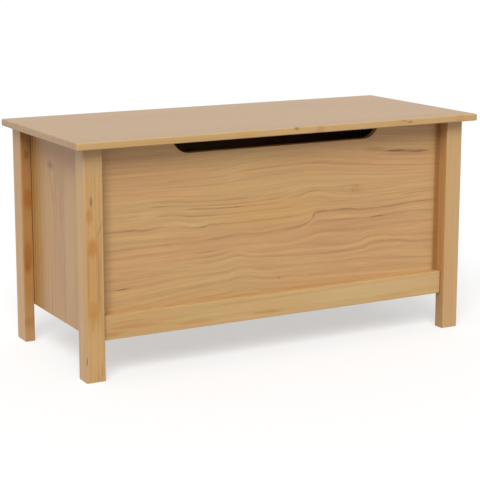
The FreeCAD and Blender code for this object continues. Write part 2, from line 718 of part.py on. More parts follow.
def stay_arm(label, reach_depth, reach_height, elbow_hole, end_hole, outer_face):
    """A flat bar with round ends from the elbow to its other pivot, given by named distances."""
    body = document.addObject("PartDesign::Body", label)
    sketch = new_sketch(body, "YZ_Plane")
    elbow = FreeCAD.Vector(0, 0, 0)
    far = FreeCAD.Vector(getattr(size, reach_depth), getattr(size, reach_height), 0)
    along = (far - elbow).normalize()
    across = FreeCAD.Vector(-along.y, along.x, 0) * size.stay_end_radius
    cap = along * size.stay_end_radius
    sketch.addGeometry(Part.Arc(elbow + across, elbow - cap, elbow - across), False)
    sketch.addGeometry(Part.LineSegment(elbow - across, far - across), False)
    sketch.addGeometry(Part.Arc(far - across, far + cap, far + across), False)
    sketch.addGeometry(Part.LineSegment(far + across, elbow + across), False)
    for first in range(4):
        sketch.addConstraint(Sketcher.Constraint("Tangent", first, 2, (first + 1) % 4, 1))
    sketch.addConstraint(Sketcher.Constraint("Coincident", 0, 3, -1, 1))
    dimension(sketch, "Radius", 0, "stay_end_radius")
    dimension(sketch, "DistanceX", 0, 3, 2, 3, reach_depth)
    dimension(sketch, "DistanceY", 0, 3, 2, 3, reach_height)
    for index, centre, middle, hole in ((4, 0, elbow, elbow_hole), (5, 2, far, end_hole)):
        sketch.addGeometry(Part.Circle(middle, Z_AXIS, getattr(size, hole)), False)
        sketch.addConstraint(Sketcher.Constraint("Coincident", index, 3, centre, 3))
        dimension(sketch, "Radius", index, hole)
    padded(body, sketch, "stay_thickness")
    place(body, "-" + outer_face, "stay_elbow_depth", "stay_elbow_height")
    return body


def rivet(label, depth, height, outer_face, inner_face, outer_head):
    """A rivet through two flat bars, with an inner head and, where it is not flush, an outer one."""
    start = outer_face + " + rivet_play" if outer_head else outer_face
    parts = [round_bar(label + "_shank", "rivet_radius", "%s - %s + rivet_play" % (start, inner_face),
                       "-(%s)" % start, depth, height),
             round_bar(label + "_inner_head", "rivet_head_radius", "rivet_head_height",
                       "-%s + rivet_play" % inner_face, depth, height)]
    if outer_head:
        parts.append(round_bar(label + "_outer_head", "rivet_head_radius", "rivet_head_height",
                               "-(%s) - rivet_head_height" % start, depth, height))
    return fused(label, parts)


def rivet_hole(label, depth, height, outer_face):
    """The hole for a rivet through one flat bar, given by the bar's outer face."""
    return round_bar(label, "pivot_hole_radius", "stay_thickness + 2 * overrun",
                     "-%s - overrun" % outer_face, depth, height)


def both_sides(label, item):
    """The left sub-part and its right-hand twin."""
    right_label = label.replace("left", "right")
    piece(label, item)
    piece(right_label, mirrored(right_label + "_twin", item))


both_sides("left_stay_lower_arm", stay_arm("left_stay_lower_arm_bar", "stay_reach", "stay_lower_rise",
                                           "pivot_hole_radius", "pivot_hole_radius", "lower_arm_outer"))
both_sides("left_stay_upper_arm", stay_arm("left_stay_upper_arm_bar", "stay_foot_back", "stay_foot_drop",
                                           "elbow_hole_radius", "pivot_hole_radius", "upper_arm_outer"))
both_sides("left_stay_foot_rivet", rivet("left_stay_foot_rivet", "stay_foot_depth", "stay_foot_height",
                                         "side_inner", "lower_arm_inner", outer_head=False))
both_sides("left_stay_elbow_rivet", rivet("left_stay_elbow_rivet", "stay_elbow_depth", "stay_elbow_height",
                                          "lower_arm_outer", "upper_arm_inner", outer_head=True))
both_sides("left_stay_lid_rivet", rivet("left_stay_lid_rivet", "stay_lid_depth", "stay_lid_height",
                                        "lower_arm_outer", "upper_arm_inner", outer_head=True))

# Side bracket: a plate on the side panel with the lower arm's pivot in its middle
side_bracket = document.addObject("PartDesign::Body", "left_stay_side_bracket_blank")
side_bracket_pad = padded(side_bracket, rectangle_sketch(side_bracket, "YZ_Plane", "side_bracket_width",
                                                         "side_bracket_height"), "stay_thickness")


def is_plate_corner(box):
    """Whether an edge crosses the plate's thickness."""
    return box.XLength > box.YLength + box.ZLength


dressed(side_bracket, "Fillet", side_bracket_pad, edges_where(side_bracket_pad.Shape, is_plate_corner),
        "bracket_round")
place(side_bracket, "-side_inner", "stay_foot_depth - side_bracket_width / 2",
      "stay_foot_height - side_bracket_height / 2")
foot_hole = rivet_hole("left_stay_foot_hole", "stay_foot_depth", "stay_foot_height", "side_inner")
drilled("left_stay_side_bracket", side_bracket, [foot_hole, stay_side_holes])
drilled("right_stay_side_bracket", mirrored("right_stay_side_bracket_blank", side_bracket),
        [mirrored("right_stay_foot_hole", foot_hole), stay_side_holes])

# Lid bracket: a flange under the lid, and a lug with a round end that carries the upper arm
flange = block("left_stay_lid_flange", "lid_bracket_width", "lid_bracket_length", "stay_thickness",
               "-lower_arm_outer", "stay_lid_depth - lid_bracket_length / 2", "body_height - stay_thickness")
lug = block("left_stay_lid_lug", "stay_thickness", "stay_width", "stay_lid_drop",
            "-lower_arm_outer", "stay_lid_depth - stay_end_radius", "stay_lid_height")
lug_end = round_bar("left_stay_lid_lug_end", "stay_end_radius", "stay_thickness",
                    "-lower_arm_outer", "stay_lid_depth", "stay_lid_height")
lid_bracket = fused("left_stay_lid_bracket_blank", [flange, lug, lug_end])
lug_hole = rivet_hole("left_stay_lug_hole", "stay_lid_depth", "stay_lid_height", "lower_arm_outer")
drilled("left_stay_lid_bracket", lid_bracket, [lug_hole, stay_lid_holes])
drilled("right_stay_lid_bracket", mirrored("right_stay_lid_bracket_blank", lid_bracket),
        [mirrored("right_stay_lug_hole", lug_hole), stay_lid_holes])
document.recompute()

unfinished = [item.Name for item in document.Objects if {"Invalid", "Error"} & set(item.State)]
broken = [item.Label for item in pieces if item.Shape.isNull() or not item.Shape.isValid()]
if unfinished or broken:
    raise RuntimeError("failed objects: %s, broken shapes: %s" % (unfinished, broken))

os.makedirs("parts", exist_ok=True)
for item in pieces:
    item.Shape.exportStep("parts/%s.step" % item.Label)
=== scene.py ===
"""Looks of a lacquered pine storage box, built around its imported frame.

X runs along the width, Y from the front to the back and Z up. Lengths are in metres, apart from those of
the boards' figure and marks, which are in millimetres.
"""

import json
import logging
import math
from dataclasses import dataclass
from enum import Enum
from functools import reduce
from operator import add
from typing import Callable, ClassVar

import bmesh
import bpy
from mathutils import Color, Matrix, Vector

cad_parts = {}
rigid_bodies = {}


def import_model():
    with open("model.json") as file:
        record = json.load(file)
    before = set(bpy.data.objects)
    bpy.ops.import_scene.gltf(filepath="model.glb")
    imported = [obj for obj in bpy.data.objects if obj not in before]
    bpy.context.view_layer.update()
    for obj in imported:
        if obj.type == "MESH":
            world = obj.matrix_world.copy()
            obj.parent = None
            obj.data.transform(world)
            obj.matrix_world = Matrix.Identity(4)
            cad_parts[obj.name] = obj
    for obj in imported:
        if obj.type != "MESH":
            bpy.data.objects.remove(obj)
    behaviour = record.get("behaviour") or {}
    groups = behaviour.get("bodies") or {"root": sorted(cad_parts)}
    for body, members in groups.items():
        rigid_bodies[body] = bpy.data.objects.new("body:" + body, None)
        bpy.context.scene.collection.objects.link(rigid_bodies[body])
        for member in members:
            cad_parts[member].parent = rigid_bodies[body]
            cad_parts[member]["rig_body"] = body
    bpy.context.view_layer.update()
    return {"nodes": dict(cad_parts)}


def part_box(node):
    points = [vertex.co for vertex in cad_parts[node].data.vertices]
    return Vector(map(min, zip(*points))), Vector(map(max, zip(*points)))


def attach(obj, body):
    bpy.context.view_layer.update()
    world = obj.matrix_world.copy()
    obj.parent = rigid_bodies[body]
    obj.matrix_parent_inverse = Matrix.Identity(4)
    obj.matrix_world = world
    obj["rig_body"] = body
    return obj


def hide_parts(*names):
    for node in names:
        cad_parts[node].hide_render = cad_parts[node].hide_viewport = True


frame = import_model()

log = logging.getLogger("storage_box")
MM = 0.001
SHARP_TURN = math.radians(15)
STEEPNESS = 10
REFRACTION = 1.5
Pair = tuple[float, float]
Paint = tuple[int, int, int]
Colour = tuple[float, float, float, float]
Mesh = bmesh.types.BMesh
Edge = bmesh.types.BMEdge
Socket = bpy.types.NodeSocket


def paint(shown: Paint) -> Colour:
    """The linear colour that shaders use for a display colour from 0 to 255."""
    return (*Color([level / 255 for level in shown]).from_srgb_to_scene_linear(), 1.0)


class Side(Enum):
    """The two ends of the box, by the way that X runs to them."""

    LEFT = -1
    RIGHT = 1

    def __str__(self) -> str:
        """The side's word in the names of nodes and pieces."""
        return self.name.lower()


class Lay(Enum):
    """How a board lies: the axes along its grain, across its face and through it."""

    WALL = ("X", "Z", "Y")
    TOP = ("X", "Y", "Z")
    SIDE = ("Z", "Y", "X")
    POST = ("Z", "X", "Y")
    CROSS = ("Y", "X", "Z")


class SocketKind(Enum):
    """Kinds of sockets that the effect groups have."""

    NUMBER = "NodeSocketFloat"
    VECTOR = "NodeSocketVector"


@dataclass(frozen=True)
class Extent:
    """The box that a piece fills."""

    low: Vector
    high: Vector

    @classmethod
    def of(cls, node: str) -> "Extent":
        """The box of a node of the frame."""
        low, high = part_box(node)
        return cls(low, high)

    @property
    def centre(self) -> Vector:
        """The middle of the box."""
        return (self.low + self.high) / 2

    @property
    def size(self) -> Vector:
        """The three sides of the box."""
        return self.high - self.low


@dataclass(frozen=True)
class Value:
    """A socket of a shader tree that sums and products are written with."""

    graph: "Graph"
    socket: Socket

    def __add__(self, other: object) -> "Value":
        """The sum."""
        return self.graph.math("ADD", self, other)

    def __sub__(self, other: object) -> "Value":
        """The difference."""
        return self.graph.math("SUBTRACT", self, other)

    def __rsub__(self, other: object) -> "Value":
        """What this one leaves of a plain number."""
        return self.graph.math("SUBTRACT", other, self)

    def __mul__(self, other: object) -> "Value":
        """The product."""
        return self.graph.math("MULTIPLY", self, other)

    def __truediv__(self, other: object) -> "Value":
        """The quotient."""
        return self.graph.math("DIVIDE", self, other)


class Graph:
    """Short ways to add and join the nodes of one shader tree."""

    def __init__(self, tree: bpy.types.NodeTree) -> None:
        """Keep the tree that nodes are added to."""
        self.tree = tree

    def add(self, kind: str, inputs: dict | None = None, **settings: object) -> bpy.types.Node:
        """Add a node.

        Args:
            kind: The node's type name.
            inputs: What feeds its inputs, by name or index.
            settings: Properties of the node.

        Returns:
            The new node.
        """
        node = self.tree.nodes.new(kind)
        for name, value in settings.items():
            setattr(node, name, value)
        for name, value in (inputs or {}).items():
            self.feed(node.inputs[name], value)
        return node

    def read(self, output: str | int, kind: str, inputs: dict | None = None, **settings: object) -> Value:
        """One output of a new node, by its name or index."""
        return Value(self, self.add(kind, inputs, **settings).outputs[output])

    def feed(self, socket: Socket, value: object) -> None:
        """Link something into a socket, or set the socket's own value.

        Args:
            socket: The input that is fed.
            value: A value of the tree, another socket or a plain value.
        """
        source = value.socket if isinstance(value, Value) else value
        if isinstance(source, Socket):
            self.tree.links.new(source, socket)
        else:
            socket.default_value = source

    def math(self, operation: str, *values: object) -> Value:
        """The result of one mathematical operation."""
        return self.read(0, "ShaderNodeMath", dict(enumerate(values)), operation=operation)

    def vector(self, operation: str, inputs: dict, output: str = "Vector") -> Value:
        """The result of one operation on vectors."""
        return self.read(output, "ShaderNodeVectorMath", inputs, operation=operation)

    def axes(self, place: object) -> list[Value]:
        """The three numbers of a place or a colour."""
        return [Value(self, part) for part in self.add("ShaderNodeSeparateXYZ", {0: place}).outputs]

    def joined(self, *parts: object) -> Value:
        """A place made from its three numbers."""
        return self.read(0, "ShaderNodeCombineXYZ", dict(enumerate(parts)))

    def noise(self, place: object, along: float, across: float, shift: object = (0.0, 0.0, 0.0),
              detail: float = 2.0, roughness: float = 0.5) -> Value:
        """Soft noise from 0 to 1.

        Args:
            place: Where it is read.
            along: Its waves to the metre along the grain.
            across: Its waves to the metre across the grain and through the board.
            shift: How far it is moved along each axis.
            detail: How many finer layers it has.
            roughness: How strong the finer layers are.

        Returns:
            The noise.
        """
        spot = self.vector("MULTIPLY_ADD", {0: place, 1: (along, across, across), 2: shift})
        inputs = {"Vector": spot, "Scale": 1.0, "Detail": detail, "Roughness": roughness}
        return self.read("Fac", "ShaderNodeTexNoise", inputs)

    def span(self, value: object, low: object, high: object, start: object = 0.0, end: object = 1.0,
             smooth: bool = True) -> Value:
        """A value taken from one range to another.

        Args:
            value: The value.
            low: Where the first range starts.
            high: Where the first range ends.
            start: What the low end becomes.
            end: What the high end becomes.
            smooth: Whether the change is eased at both ends.

        Returns:
            The new value, held inside its range.
        """
        inputs = {"Value": value, "From Min": low, "From Max": high, "To Min": start, "To Max": end}
        kind = "SMOOTHSTEP" if smooth else "LINEAR"
        return self.read(0, "ShaderNodeMapRange", inputs, interpolation_type=kind)

    def swing(self, value: object, low: float, high: float, reach: float) -> Value:
        """A value taken from one range to a range round one, by how far that reaches to each side."""
        return self.span(value, low, high, 1.0 - reach, 1.0 + reach, smooth=False)

    def curve(self, value: object, places: list[Pair]) -> Value:
        """The height of a smooth curve through a few places.

        Args:
            value: Where the curve is read.
            places: The places, each as how far along it is and how high, in order.

        Returns:
            The curve's height.
        """
        start, end = places[0][0], places[-1][0]
        heights = [height for _, height in places]
        base, top = min(heights), max(heights)
        node = self.add("ShaderNodeFloatCurve", {"Value": self.span(value, start, end, smooth=False)})
        points = node.mapping.curves[0].points
        spots = [((along - start) / (end - start), (height - base) / (top - base))
                 for along, height in places]
        points[0].location, points[1].location = spots[0], spots[-1]
        for spot in spots[1:-1]:
            points.new(*spot)
        node.mapping.update()
        return self.span(node.outputs["Value"], 0.0, 1.0, base, top, smooth=False)

    def blend(self, share: object, first: object, second: object) -> Value:
        """Two colours mixed by a share."""
        return self.read(2, "ShaderNodeMix", {0: share, 6: first, 7: second}, data_type="RGBA")

    def hill(self, *offsets: Value) -> Value:
        """A bell from 1 at its middle down to 0, by offsets measured in the bell's own widths."""
        return self.math("EXPONENT", reduce(add, [offset * offset for offset in offsets]) * -1.0)


class Surface(Graph):
    """The graph of a new material, whose surface shader is fed by name."""

    def __init__(self, title: str) -> None:
        """Make a material with nothing but its surface shader.

        Args:
            title: Name of the material.
        """
        self.material = bpy.data.materials.new(title)
        self.material.use_nodes = True
        super().__init__(self.material.node_tree)
        self.tree.nodes.clear()
        self.shader = self.add("ShaderNodeBsdfPrincipled", {"IOR": REFRACTION})
        self.add("ShaderNodeOutputMaterial", {"Surface": self.shader.outputs[0]})

    def __setitem__(self, name: str, value: object) -> None:
        """Feed an input of the shader, or set its own value."""
        self.feed(self.shader.inputs[name], value)

    def board_place(self, lay: Lay, centre: Vector) -> Value:
        """The place on a board, from its middle: along the grain, across the face and through it.

        Args:
            lay: How the board lies.
            centre: The board's middle.

        Returns:
            The place as a vector.
        """
        coordinates = self.read("Object", "ShaderNodeTexCoord")
        parts = self.axes(self.vector("SUBTRACT", {0: coordinates, 1: tuple(centre)}))
        return self.joined(*(parts["XYZ".index(axis)] for axis in lay.value))

    def add_bump(self, height: Value, strength: float, distance: float) -> None:
        """Raise and sink the surface by a height."""
        inputs = {"Strength": strength, "Distance": distance, "Height": height}
        self["Normal"] = self.read(0, "ShaderNodeBump", inputs)


class Effect(Graph):
    """A shader node group that finishes place with their own values. Its sockets named Place are vectors."""

    takes: ClassVar[tuple[str, ...]]
    made: ClassVar[dict[str, bpy.types.NodeTree]] = {}

    def __init__(self) -> None:
        """Build the group from its inputs to its outputs."""
        super().__init__(bpy.data.node_groups.new(type(self).__name__, "ShaderNodeTree"))
        for name in self.takes:
            self.add_socket(name, "INPUT")
        self.given = self.add("NodeGroupInput").outputs
        self.results = {}
        self.wire()
        for name in self.results:
            self.add_socket(name, "OUTPUT")
        self.add("NodeGroupOutput", self.results)

    def __getitem__(self, name: str) -> Value:
        """One of the group's inputs."""
        return Value(self, self.given[name])

    def __setitem__(self, name: str, value: object) -> None:
        """Set one of the group's outputs."""
        self.results[name] = value

    def add_socket(self, name: str, way: str) -> None:
        """Add an input or an output to the group."""
        kind = SocketKind.VECTOR if name == "Place" else SocketKind.NUMBER
        self.tree.interface.new_socket(name, in_out=way, socket_type=kind.value)

    def wire(self) -> None:
        """Join the group's nodes and name its outputs."""
        raise NotImplementedError

    @classmethod
    def place(cls, graph: Graph, **values: object) -> dict[str, Value]:
        """Add the group to a tree, and build it the first time.

        Args:
            graph: The tree's graph.
            values: What feeds its inputs, by their names with an underscore for each space.

        Returns:
            Its outputs by name.
        """
        if cls.__name__ not in cls.made:
            cls.made[cls.__name__] = cls().tree
        inputs = {name.replace("_", " ").title(): value for name, value in values.items()}
        outputs = graph.add("ShaderNodeGroup", inputs, node_tree=cls.made[cls.__name__]).outputs
        return {output.name: Value(graph, output) for output in outputs}


class Staves(Effect):
    """A panel cut into glued staves, each with its own stretch of grain and its own tone."""

    takes = ("Place", "Width", "Shift", "Seed")
    slip = (3.0, 0.12, 0.06)
    joint = 0.9 * MM

    def wire(self) -> None:
        """Slip the grain of each stave and mark the joints between them."""
        along, across, deep = self.axes(self["Place"])
        count = (across + self["Shift"]) / self["Width"]
        inside = self.math("FRACT", count)
        inputs = {"W": self.math("FLOOR", count) + self["Seed"]}
        chance = self.add("ShaderNodeTexWhiteNoise", inputs, noise_dimensions="1D").outputs
        first, second, third = self.axes(chance["Color"])
        moved = self.joined(along + first * self.slip[0], across + (second - 0.5) * self.slip[1],
                            deep + (third - 0.5) * self.slip[2])
        edge = self.math("MINIMUM", inside, 1.0 - inside) * self["Width"]
        self["Place"] = moved
        self["Tone"] = chance["Value"]
        self["Joint"] = self.span(edge, 0.0, self.joint, 1.0, 0.0)


class Rings(Effect):
    """Growth rings round a pith that runs along the grain, wandering as a trunk does."""

    takes = ("Place", "Pith Across", "Pith Depth", "Slope", "Spacing", "Wander", "Lift", "Seed")
    slow_waves = (1.1, 7.0)
    quick_waves = (9.0, 26.0)
    fade_waves = (3.0, 30.0)
    slow_sway = 1.7
    quick_sway = 0.9
    beat_waves = 13.0
    beat_sway = 2.2
    darkening = (0.35, 0.93)
    winter = (0.95, 1.0)
    faded = (0.36, 0.62, 0.25, 1.0)
    faintest = 0.3

    def wire(self) -> None:
        """Measure the distance from the pith and darken the end of each year."""
        place, spacing, seed = self["Place"], self["Spacing"], self["Seed"]
        along, across, deep = self.axes(place)
        slow = self.noise(place, *self.slow_waves, seed)
        quick = self.noise(place, *self.quick_waves, seed)
        drift = (slow - 0.5) * self.slow_sway + (quick - 0.5) * self.quick_sway
        side = across - along * self["Slope"] - self["Pith Across"]
        back = deep - self["Pith Depth"]
        distance = self.math("SQRT", side * side + back * back) + drift * self["Wander"] + self["Lift"]
        inputs = {"W": distance + seed, "Scale": self.beat_waves, "Detail": 1.0}
        beat = self.read("Fac", "ShaderNodeTexNoise", inputs, noise_dimensions="1D")
        count = (distance + (beat - 0.5) * self.beat_sway * spacing) / spacing
        season = self.math("FRACT", count)
        inputs = {"W": self.math("FLOOR", count) + seed}
        tone = self.read("Value", "ShaderNodeTexWhiteNoise", inputs, noise_dimensions="1D")
        dark = self.span(season, *self.darkening) * self.span(season, *self.winter, 1.0, 0.0)
        fade = self.span(self.noise(place, *self.fade_waves, seed), *self.faded)
        weight = fade * self.span(tone, 0.0, 1.0, self.faintest, 1.0)
        self["Distance"] = distance
        self["Late Wood"] = dark * weight


class GrowthLine(Effect):
    """One strong growth line that keeps its distance from the pith between two places along the grain."""

    takes = ("Place", "Distance", "Level", "Start", "End", "Width")
    taper = 25 * MM
    waves = (14.0, 30.0)
    patches = (0.3, 0.6, 0.45, 1.0)

    def wire(self) -> None:
        """Draw the line at its level, with tapered ends and fainter patches."""
        along = self.axes(self["Place"])[0]
        start, end = self["Start"], self["End"]
        run_in = self.span(along, start - self.taper, start + self.taper)
        run_out = self.span(along, end - self.taper, end + self.taper, 1.0, 0.0)
        patchy = self.span(self.noise(self["Place"], *self.waves, self["Level"]), *self.patches)
        line = self.hill((self["Distance"] - self["Level"]) / self["Width"])
        self["Mask"] = line * (run_in * run_out * patchy)


class Branch(Effect):
    """A branch through the board: grain that parts round it, a dark core and a stained rim."""

    takes = ("Place", "Along", "Across", "Radius", "Swirl")
    squeeze = 0.6
    reach = 2.8
    waves = (160.0, 260.0)
    core = (0.55, 1.1)
    rim = (0.9, 2.4)

    def wire(self) -> None:
        """Part the grain and draw the core and the rim."""
        along, across, _ = self.axes(self["Place"])
        radius = self["Radius"]
        run = (along - self["Along"]) * self.squeeze
        side = across - self["Across"]
        reach = radius * self.reach
        self["Lift"] = side / radius * self["Swirl"] * self.hill(run / reach, side / reach) * -1.0
        rough = self.noise(self["Place"], *self.waves) - 0.5
        ragged = self.math("SQRT", run * run + side * side) / radius + rough
        self["Core"] = self.span(ragged, *self.core, 1.0, 0.0)
        self["Rim"] = self.span(ragged, *self.rim, 1.0, 0.0)


class ResinStain(Effect):
    """A tapered streak of resin or heartwood that frays along the grain; it also draws the bands of painted
    shade.
    """

    takes = ("Place", "Along", "Across", "Length", "Height", "Slope", "Depth", "Thickness")
    waves = (26.0, 210.0)
    fray = 1.3
    edge = (0.12, 0.85)

    def wire(self) -> None:
        """Draw the streak as a bell with frayed sides."""
        along, across, deep = self.axes(self["Place"])
        run = along - self["Along"]
        frayed = (self.noise(self["Place"], *self.waves, detail=3.0) - 0.5) * (self["Height"] * self.fray)
        side = across - self["Across"] - run * self["Slope"] + frayed
        inwards = deep - self["Depth"]
        bell = self.hill(run / self["Length"], side / self["Height"], inwards / self["Thickness"])
        self["Mask"] = self.span(bell, *self.edge)


class Fibres(Effect):
    """The fine stripes, short resin canals and pale clouds of planed softwood."""

    takes = ("Place", "Seed")
    wide_waves = (3.5, 150.0)
    fine_waves = (14.0, 700.0)
    canal_waves = (45.0, 1500.0)
    cloud_waves = (2.2, 9.0)
    wide_share = 0.6
    canal_edge = (0.66, 0.74)

    def wire(self) -> None:
        """Mix wide and fine stripes, and read the canals and the clouds."""
        place, seed = self["Place"], self["Seed"]
        wide = self.noise(place, *self.wide_waves, seed, detail=3.0, roughness=0.6)
        fine = self.noise(place, *self.fine_waves, seed, roughness=0.6)
        canal = self.noise(place, *self.canal_waves, seed, detail=1.0)
        self["Streak"] = wide * self.wide_share + fine * (1.0 - self.wide_share)
        self["Canals"] = self.span(canal, *self.canal_edge)
        self["Cloud"] = self.noise(place, *self.cloud_waves, seed)


class Arris(Effect):
    """Where a sharp edge has been rubbed, broken up along its length."""

    takes = ("Place", "Radius")
    waves = (60.0, 60.0)
    breaks = (0.3, 0.6, 0.4, 1.0)
    sharp = (0.01, 0.2)

    def wire(self) -> None:
        """Find the edges by how far a rounded normal turns from the flat one."""
        eased = self.read(0, "ShaderNodeBevel", {"Radius": self["Radius"]}, samples=4)
        flat = self.read("Normal", "ShaderNodeNewGeometry")
        turn = 1.0 - self.vector("DOT_PRODUCT", {0: eased, 1: flat}, "Value")
        broken = self.span(self.noise(self["Place"], *self.waves, detail=3.0), *self.breaks)
        self["Mask"] = self.span(turn, *self.sharp) * broken


class Brushed(Effect):
    """Fine scratches along one direction and the mottle of a plated coat."""

    takes = ("Place",)
    scratch_waves = (60.0, 2600.0)
    mottle_waves = (120.0, 120.0)

    def wire(self) -> None:
        """Read the scratches and the mottle."""
        self["Lines"] = self.noise(self["Place"], *self.scratch_waves, roughness=0.6)
        self["Mottle"] = self.noise(self["Place"], *self.mottle_waves, detail=3.0, roughness=0.6)


def metres(mark: object, names: str) -> dict[str, float]:
    """Some of a finish's or a mark's lengths, turned from millimetres into metres."""
    return {name: getattr(mark, name) * MM for name in names.split()}


@dataclass(frozen=True)
class Knot:
    """A knot, placed from the middle of its board."""

    along: float
    across: float
    radius: float
    swirl: float
    core: Paint = (112, 66, 34)
    strength: float = 0.8


@dataclass(frozen=True)
class Stain:
    """A streak of resin or heartwood, placed from the middle of its board; some of them are bands of painted
    shade in corners, beside the legs and under the lid.
    """

    along: float
    across: float
    length: float
    height: float
    tint: Paint
    strength: float
    slope: float = 0.0
    depth: float = 0.0
    thickness: float = 10000.0


@dataclass(frozen=True)
class Vein:
    """A strong growth line, placed from the middle of its board."""

    across: float
    start: float
    end: float
    width: float
    strength: float


@dataclass(frozen=True)
class Guide:
    """A growth line that its neighbours follow, given by its height at a few places along the board."""

    level: float
    heights: dict[int, int]


@dataclass(frozen=True)
class PineFinish:
    """Clear-lacquered pine with its own stretch of tree."""

    name: str
    early: Paint
    late: Paint
    blush: Paint
    seed: float
    spacing: float
    wander: float
    contrast: float
    streaks: float
    slope: float = 0.0
    pith_across: float = -350.0
    pith_depth: float = 80.0
    stave: float = 0.0
    stave_shift: float = 0.0
    stave_contrast: float = 0.1
    gloss: Pair = (0.36, 0.5)
    knots: tuple[Knot, ...] = ()
    stains: tuple[Stain, ...] = ()
    veins: tuple[Vein, ...] = ()
    guides: tuple[Guide, ...] = ()

    vein_tint = (126, 80, 42)
    clouds = (0.35, 0.68)
    stripes = (0.3, 0.7)
    rim_share = 0.35
    canal_share = 0.22
    joint_share = 0.5
    worn_share = 0.35
    worn_light = 1.25
    worn_width = 1.8 * MM
    late_gloss = 0.05
    streak_height = 0.7
    canal_height = 0.3
    late_height = 0.5
    relief = 0.2 * MM
    relief_share = 0.25

    def level(self, across: float, thickness: float) -> float:
        """How far from the pith a line on the front face is, in metres, from its place across the board."""
        return math.hypot((across - self.pith_across) * MM, thickness / 2 + self.pith_depth * MM)

    def guided(self, graph: Graph, place: Value) -> Value:
        """Take each growth line back to the level that it would have in straight grain.

        Args:
            graph: The material's graph.
            place: The place on the board.

        Returns:
            The place in straight grain.
        """
        along, across, deep = graph.axes(place)
        heights = [graph.curve(along, [(run * MM, height * MM) for run, height in guide.heights.items()])
                   for guide in self.guides]
        below = graph.math("MINIMUM", across - heights[0], 0.0)
        above = graph.math("MAXIMUM", across - heights[-1], 0.0)
        total = below + above + self.guides[0].level * MM
        for low, high, floor, ceiling in zip(self.guides, self.guides[1:], heights, heights[1:]):
            step = (high.level - low.level) * MM
            total = total + graph.span(across, floor, ceiling, 0.0, step, smooth=False)
        return graph.joined(along, total, deep)

    def build(self, title: str, lay: Lay, extent: Extent) -> bpy.types.Material:
        """Make the finish for one board.

        Args:
            title: Name of the material.
            lay: How the board lies.
            extent: The board's box.

        Returns:
            The material.
        """
        surface = Surface(title)
        place = surface.board_place(lay, extent.centre)
        figure = self.guided(surface, place) if self.guides else place
        tone, joint = 0.5, 0.0
        if self.stave:
            cut = Staves.place(surface, place=figure, width=self.stave * MM, shift=self.stave_shift * MM,
                               seed=self.seed)
            figure, tone, joint = cut["Place"], cut["Tone"], cut["Joint"]
        branches = [Branch.place(surface, place=place, **metres(knot, "along across radius swirl"))
                    for knot in self.knots]
        lift = reduce(add, [branch["Lift"] for branch in branches]) if branches else 0.0
        rings = Rings.place(surface, place=figure, slope=self.slope, lift=lift, seed=self.seed,
                            **metres(self, "pith_across pith_depth spacing wander"))
        fibres = Fibres.place(surface, place=figure, seed=self.seed)
        streak, canals, late_wood = fibres["Streak"], fibres["Canals"], rings["Late Wood"]
        early, late = paint(self.early), paint(self.late)
        colour = surface.blend(surface.span(fibres["Cloud"], *self.clouds), early, paint(self.blush))
        colour = surface.blend(late_wood * self.contrast, colour, late)
        grey = surface.swing(streak, *self.stripes, self.streaks)
        grey = grey * surface.swing(tone, 0.0, 1.0, self.stave_contrast)
        colour = surface.vector("SCALE", {0: colour, "Scale": grey})
        for vein in self.veins:
            line = GrowthLine.place(surface, place=place, distance=rings["Distance"],
                                    level=self.level(vein.across, min(extent.size)),
                                    **metres(vein, "start end width"))
            colour = surface.blend(line["Mask"] * vein.strength, colour, paint(self.vein_tint))
        # Mix in the stains, and the bands of painted shade and painted shadow.
        for stain_and_shade in self.stains:
            stain_and_shade_patch = ResinStain.place(surface, place=place, slope=stain_and_shade.slope,
                                     **metres(stain_and_shade, "along across length height depth thickness"))
            colour = surface.blend(stain_and_shade_patch["Mask"] * stain_and_shade.strength, colour, paint(stain_and_shade.tint))
        for knot, branch in zip(self.knots, branches):
            colour = surface.blend(branch["Rim"] * (knot.strength * self.rim_share), colour, late)
            colour = surface.blend(branch["Core"] * knot.strength, colour, paint(knot.core))
        colour = surface.blend(canals * self.canal_share, colour, late)
        colour = surface.blend(joint * self.joint_share, colour, late)
        wear = Arris.place(surface, place=place, radius=self.worn_width)["Mask"]
        pale = (*(min(1.0, level * self.worn_light) for level in early[:3]), 1.0)
        surface["Base Color"] = surface.blend(wear * self.worn_share, colour, pale)
        sheen = surface.span(streak, *self.stripes, *self.gloss, smooth=False)
        surface["Roughness"] = sheen - late_wood * self.late_gloss
        height = streak * self.streak_height - (canals * self.canal_height + joint)
        surface.add_bump(height + late_wood * self.late_height, self.relief_share, self.relief)
        return surface.material


@dataclass(frozen=True)
class PlatedFinish:
    """Plated steel with fine brushed lines."""

    name: str
    plate: Paint
    dull: Paint
    roughness: Pair = (0.26, 0.42)

    mottle = (0.35, 0.7)
    scratches = (0.3, 0.7)
    worn_share = 0.5
    worn_width = 0.6 * MM
    relief = 0.05 * MM
    relief_share = 0.15

    def build(self, title: str, lay: Lay, extent: Extent) -> bpy.types.Material:
        """Make the finish for one piece of hardware.

        Args:
            title: Name of the material.
            lay: The direction of the brushed lines.
            extent: The piece's box.

        Returns:
            The material.
        """
        surface = Surface(title)
        place = surface.board_place(lay, extent.centre)
        plate = Brushed.place(surface, place=place)
        wear = Arris.place(surface, place=place, radius=self.worn_width)["Mask"]
        bright = paint(self.plate)
        colour = surface.blend(surface.span(plate["Mottle"], *self.mottle), bright, paint(self.dull))
        surface["Base Color"] = surface.blend(wear * self.worn_share, colour, bright)
        surface["Metallic"] = 1.0
        surface["Roughness"] = surface.span(plate["Lines"], *self.scratches, *self.roughness, smooth=False)
        surface.add_bump(plate["Lines"], self.relief_share, self.relief)
        return surface.material


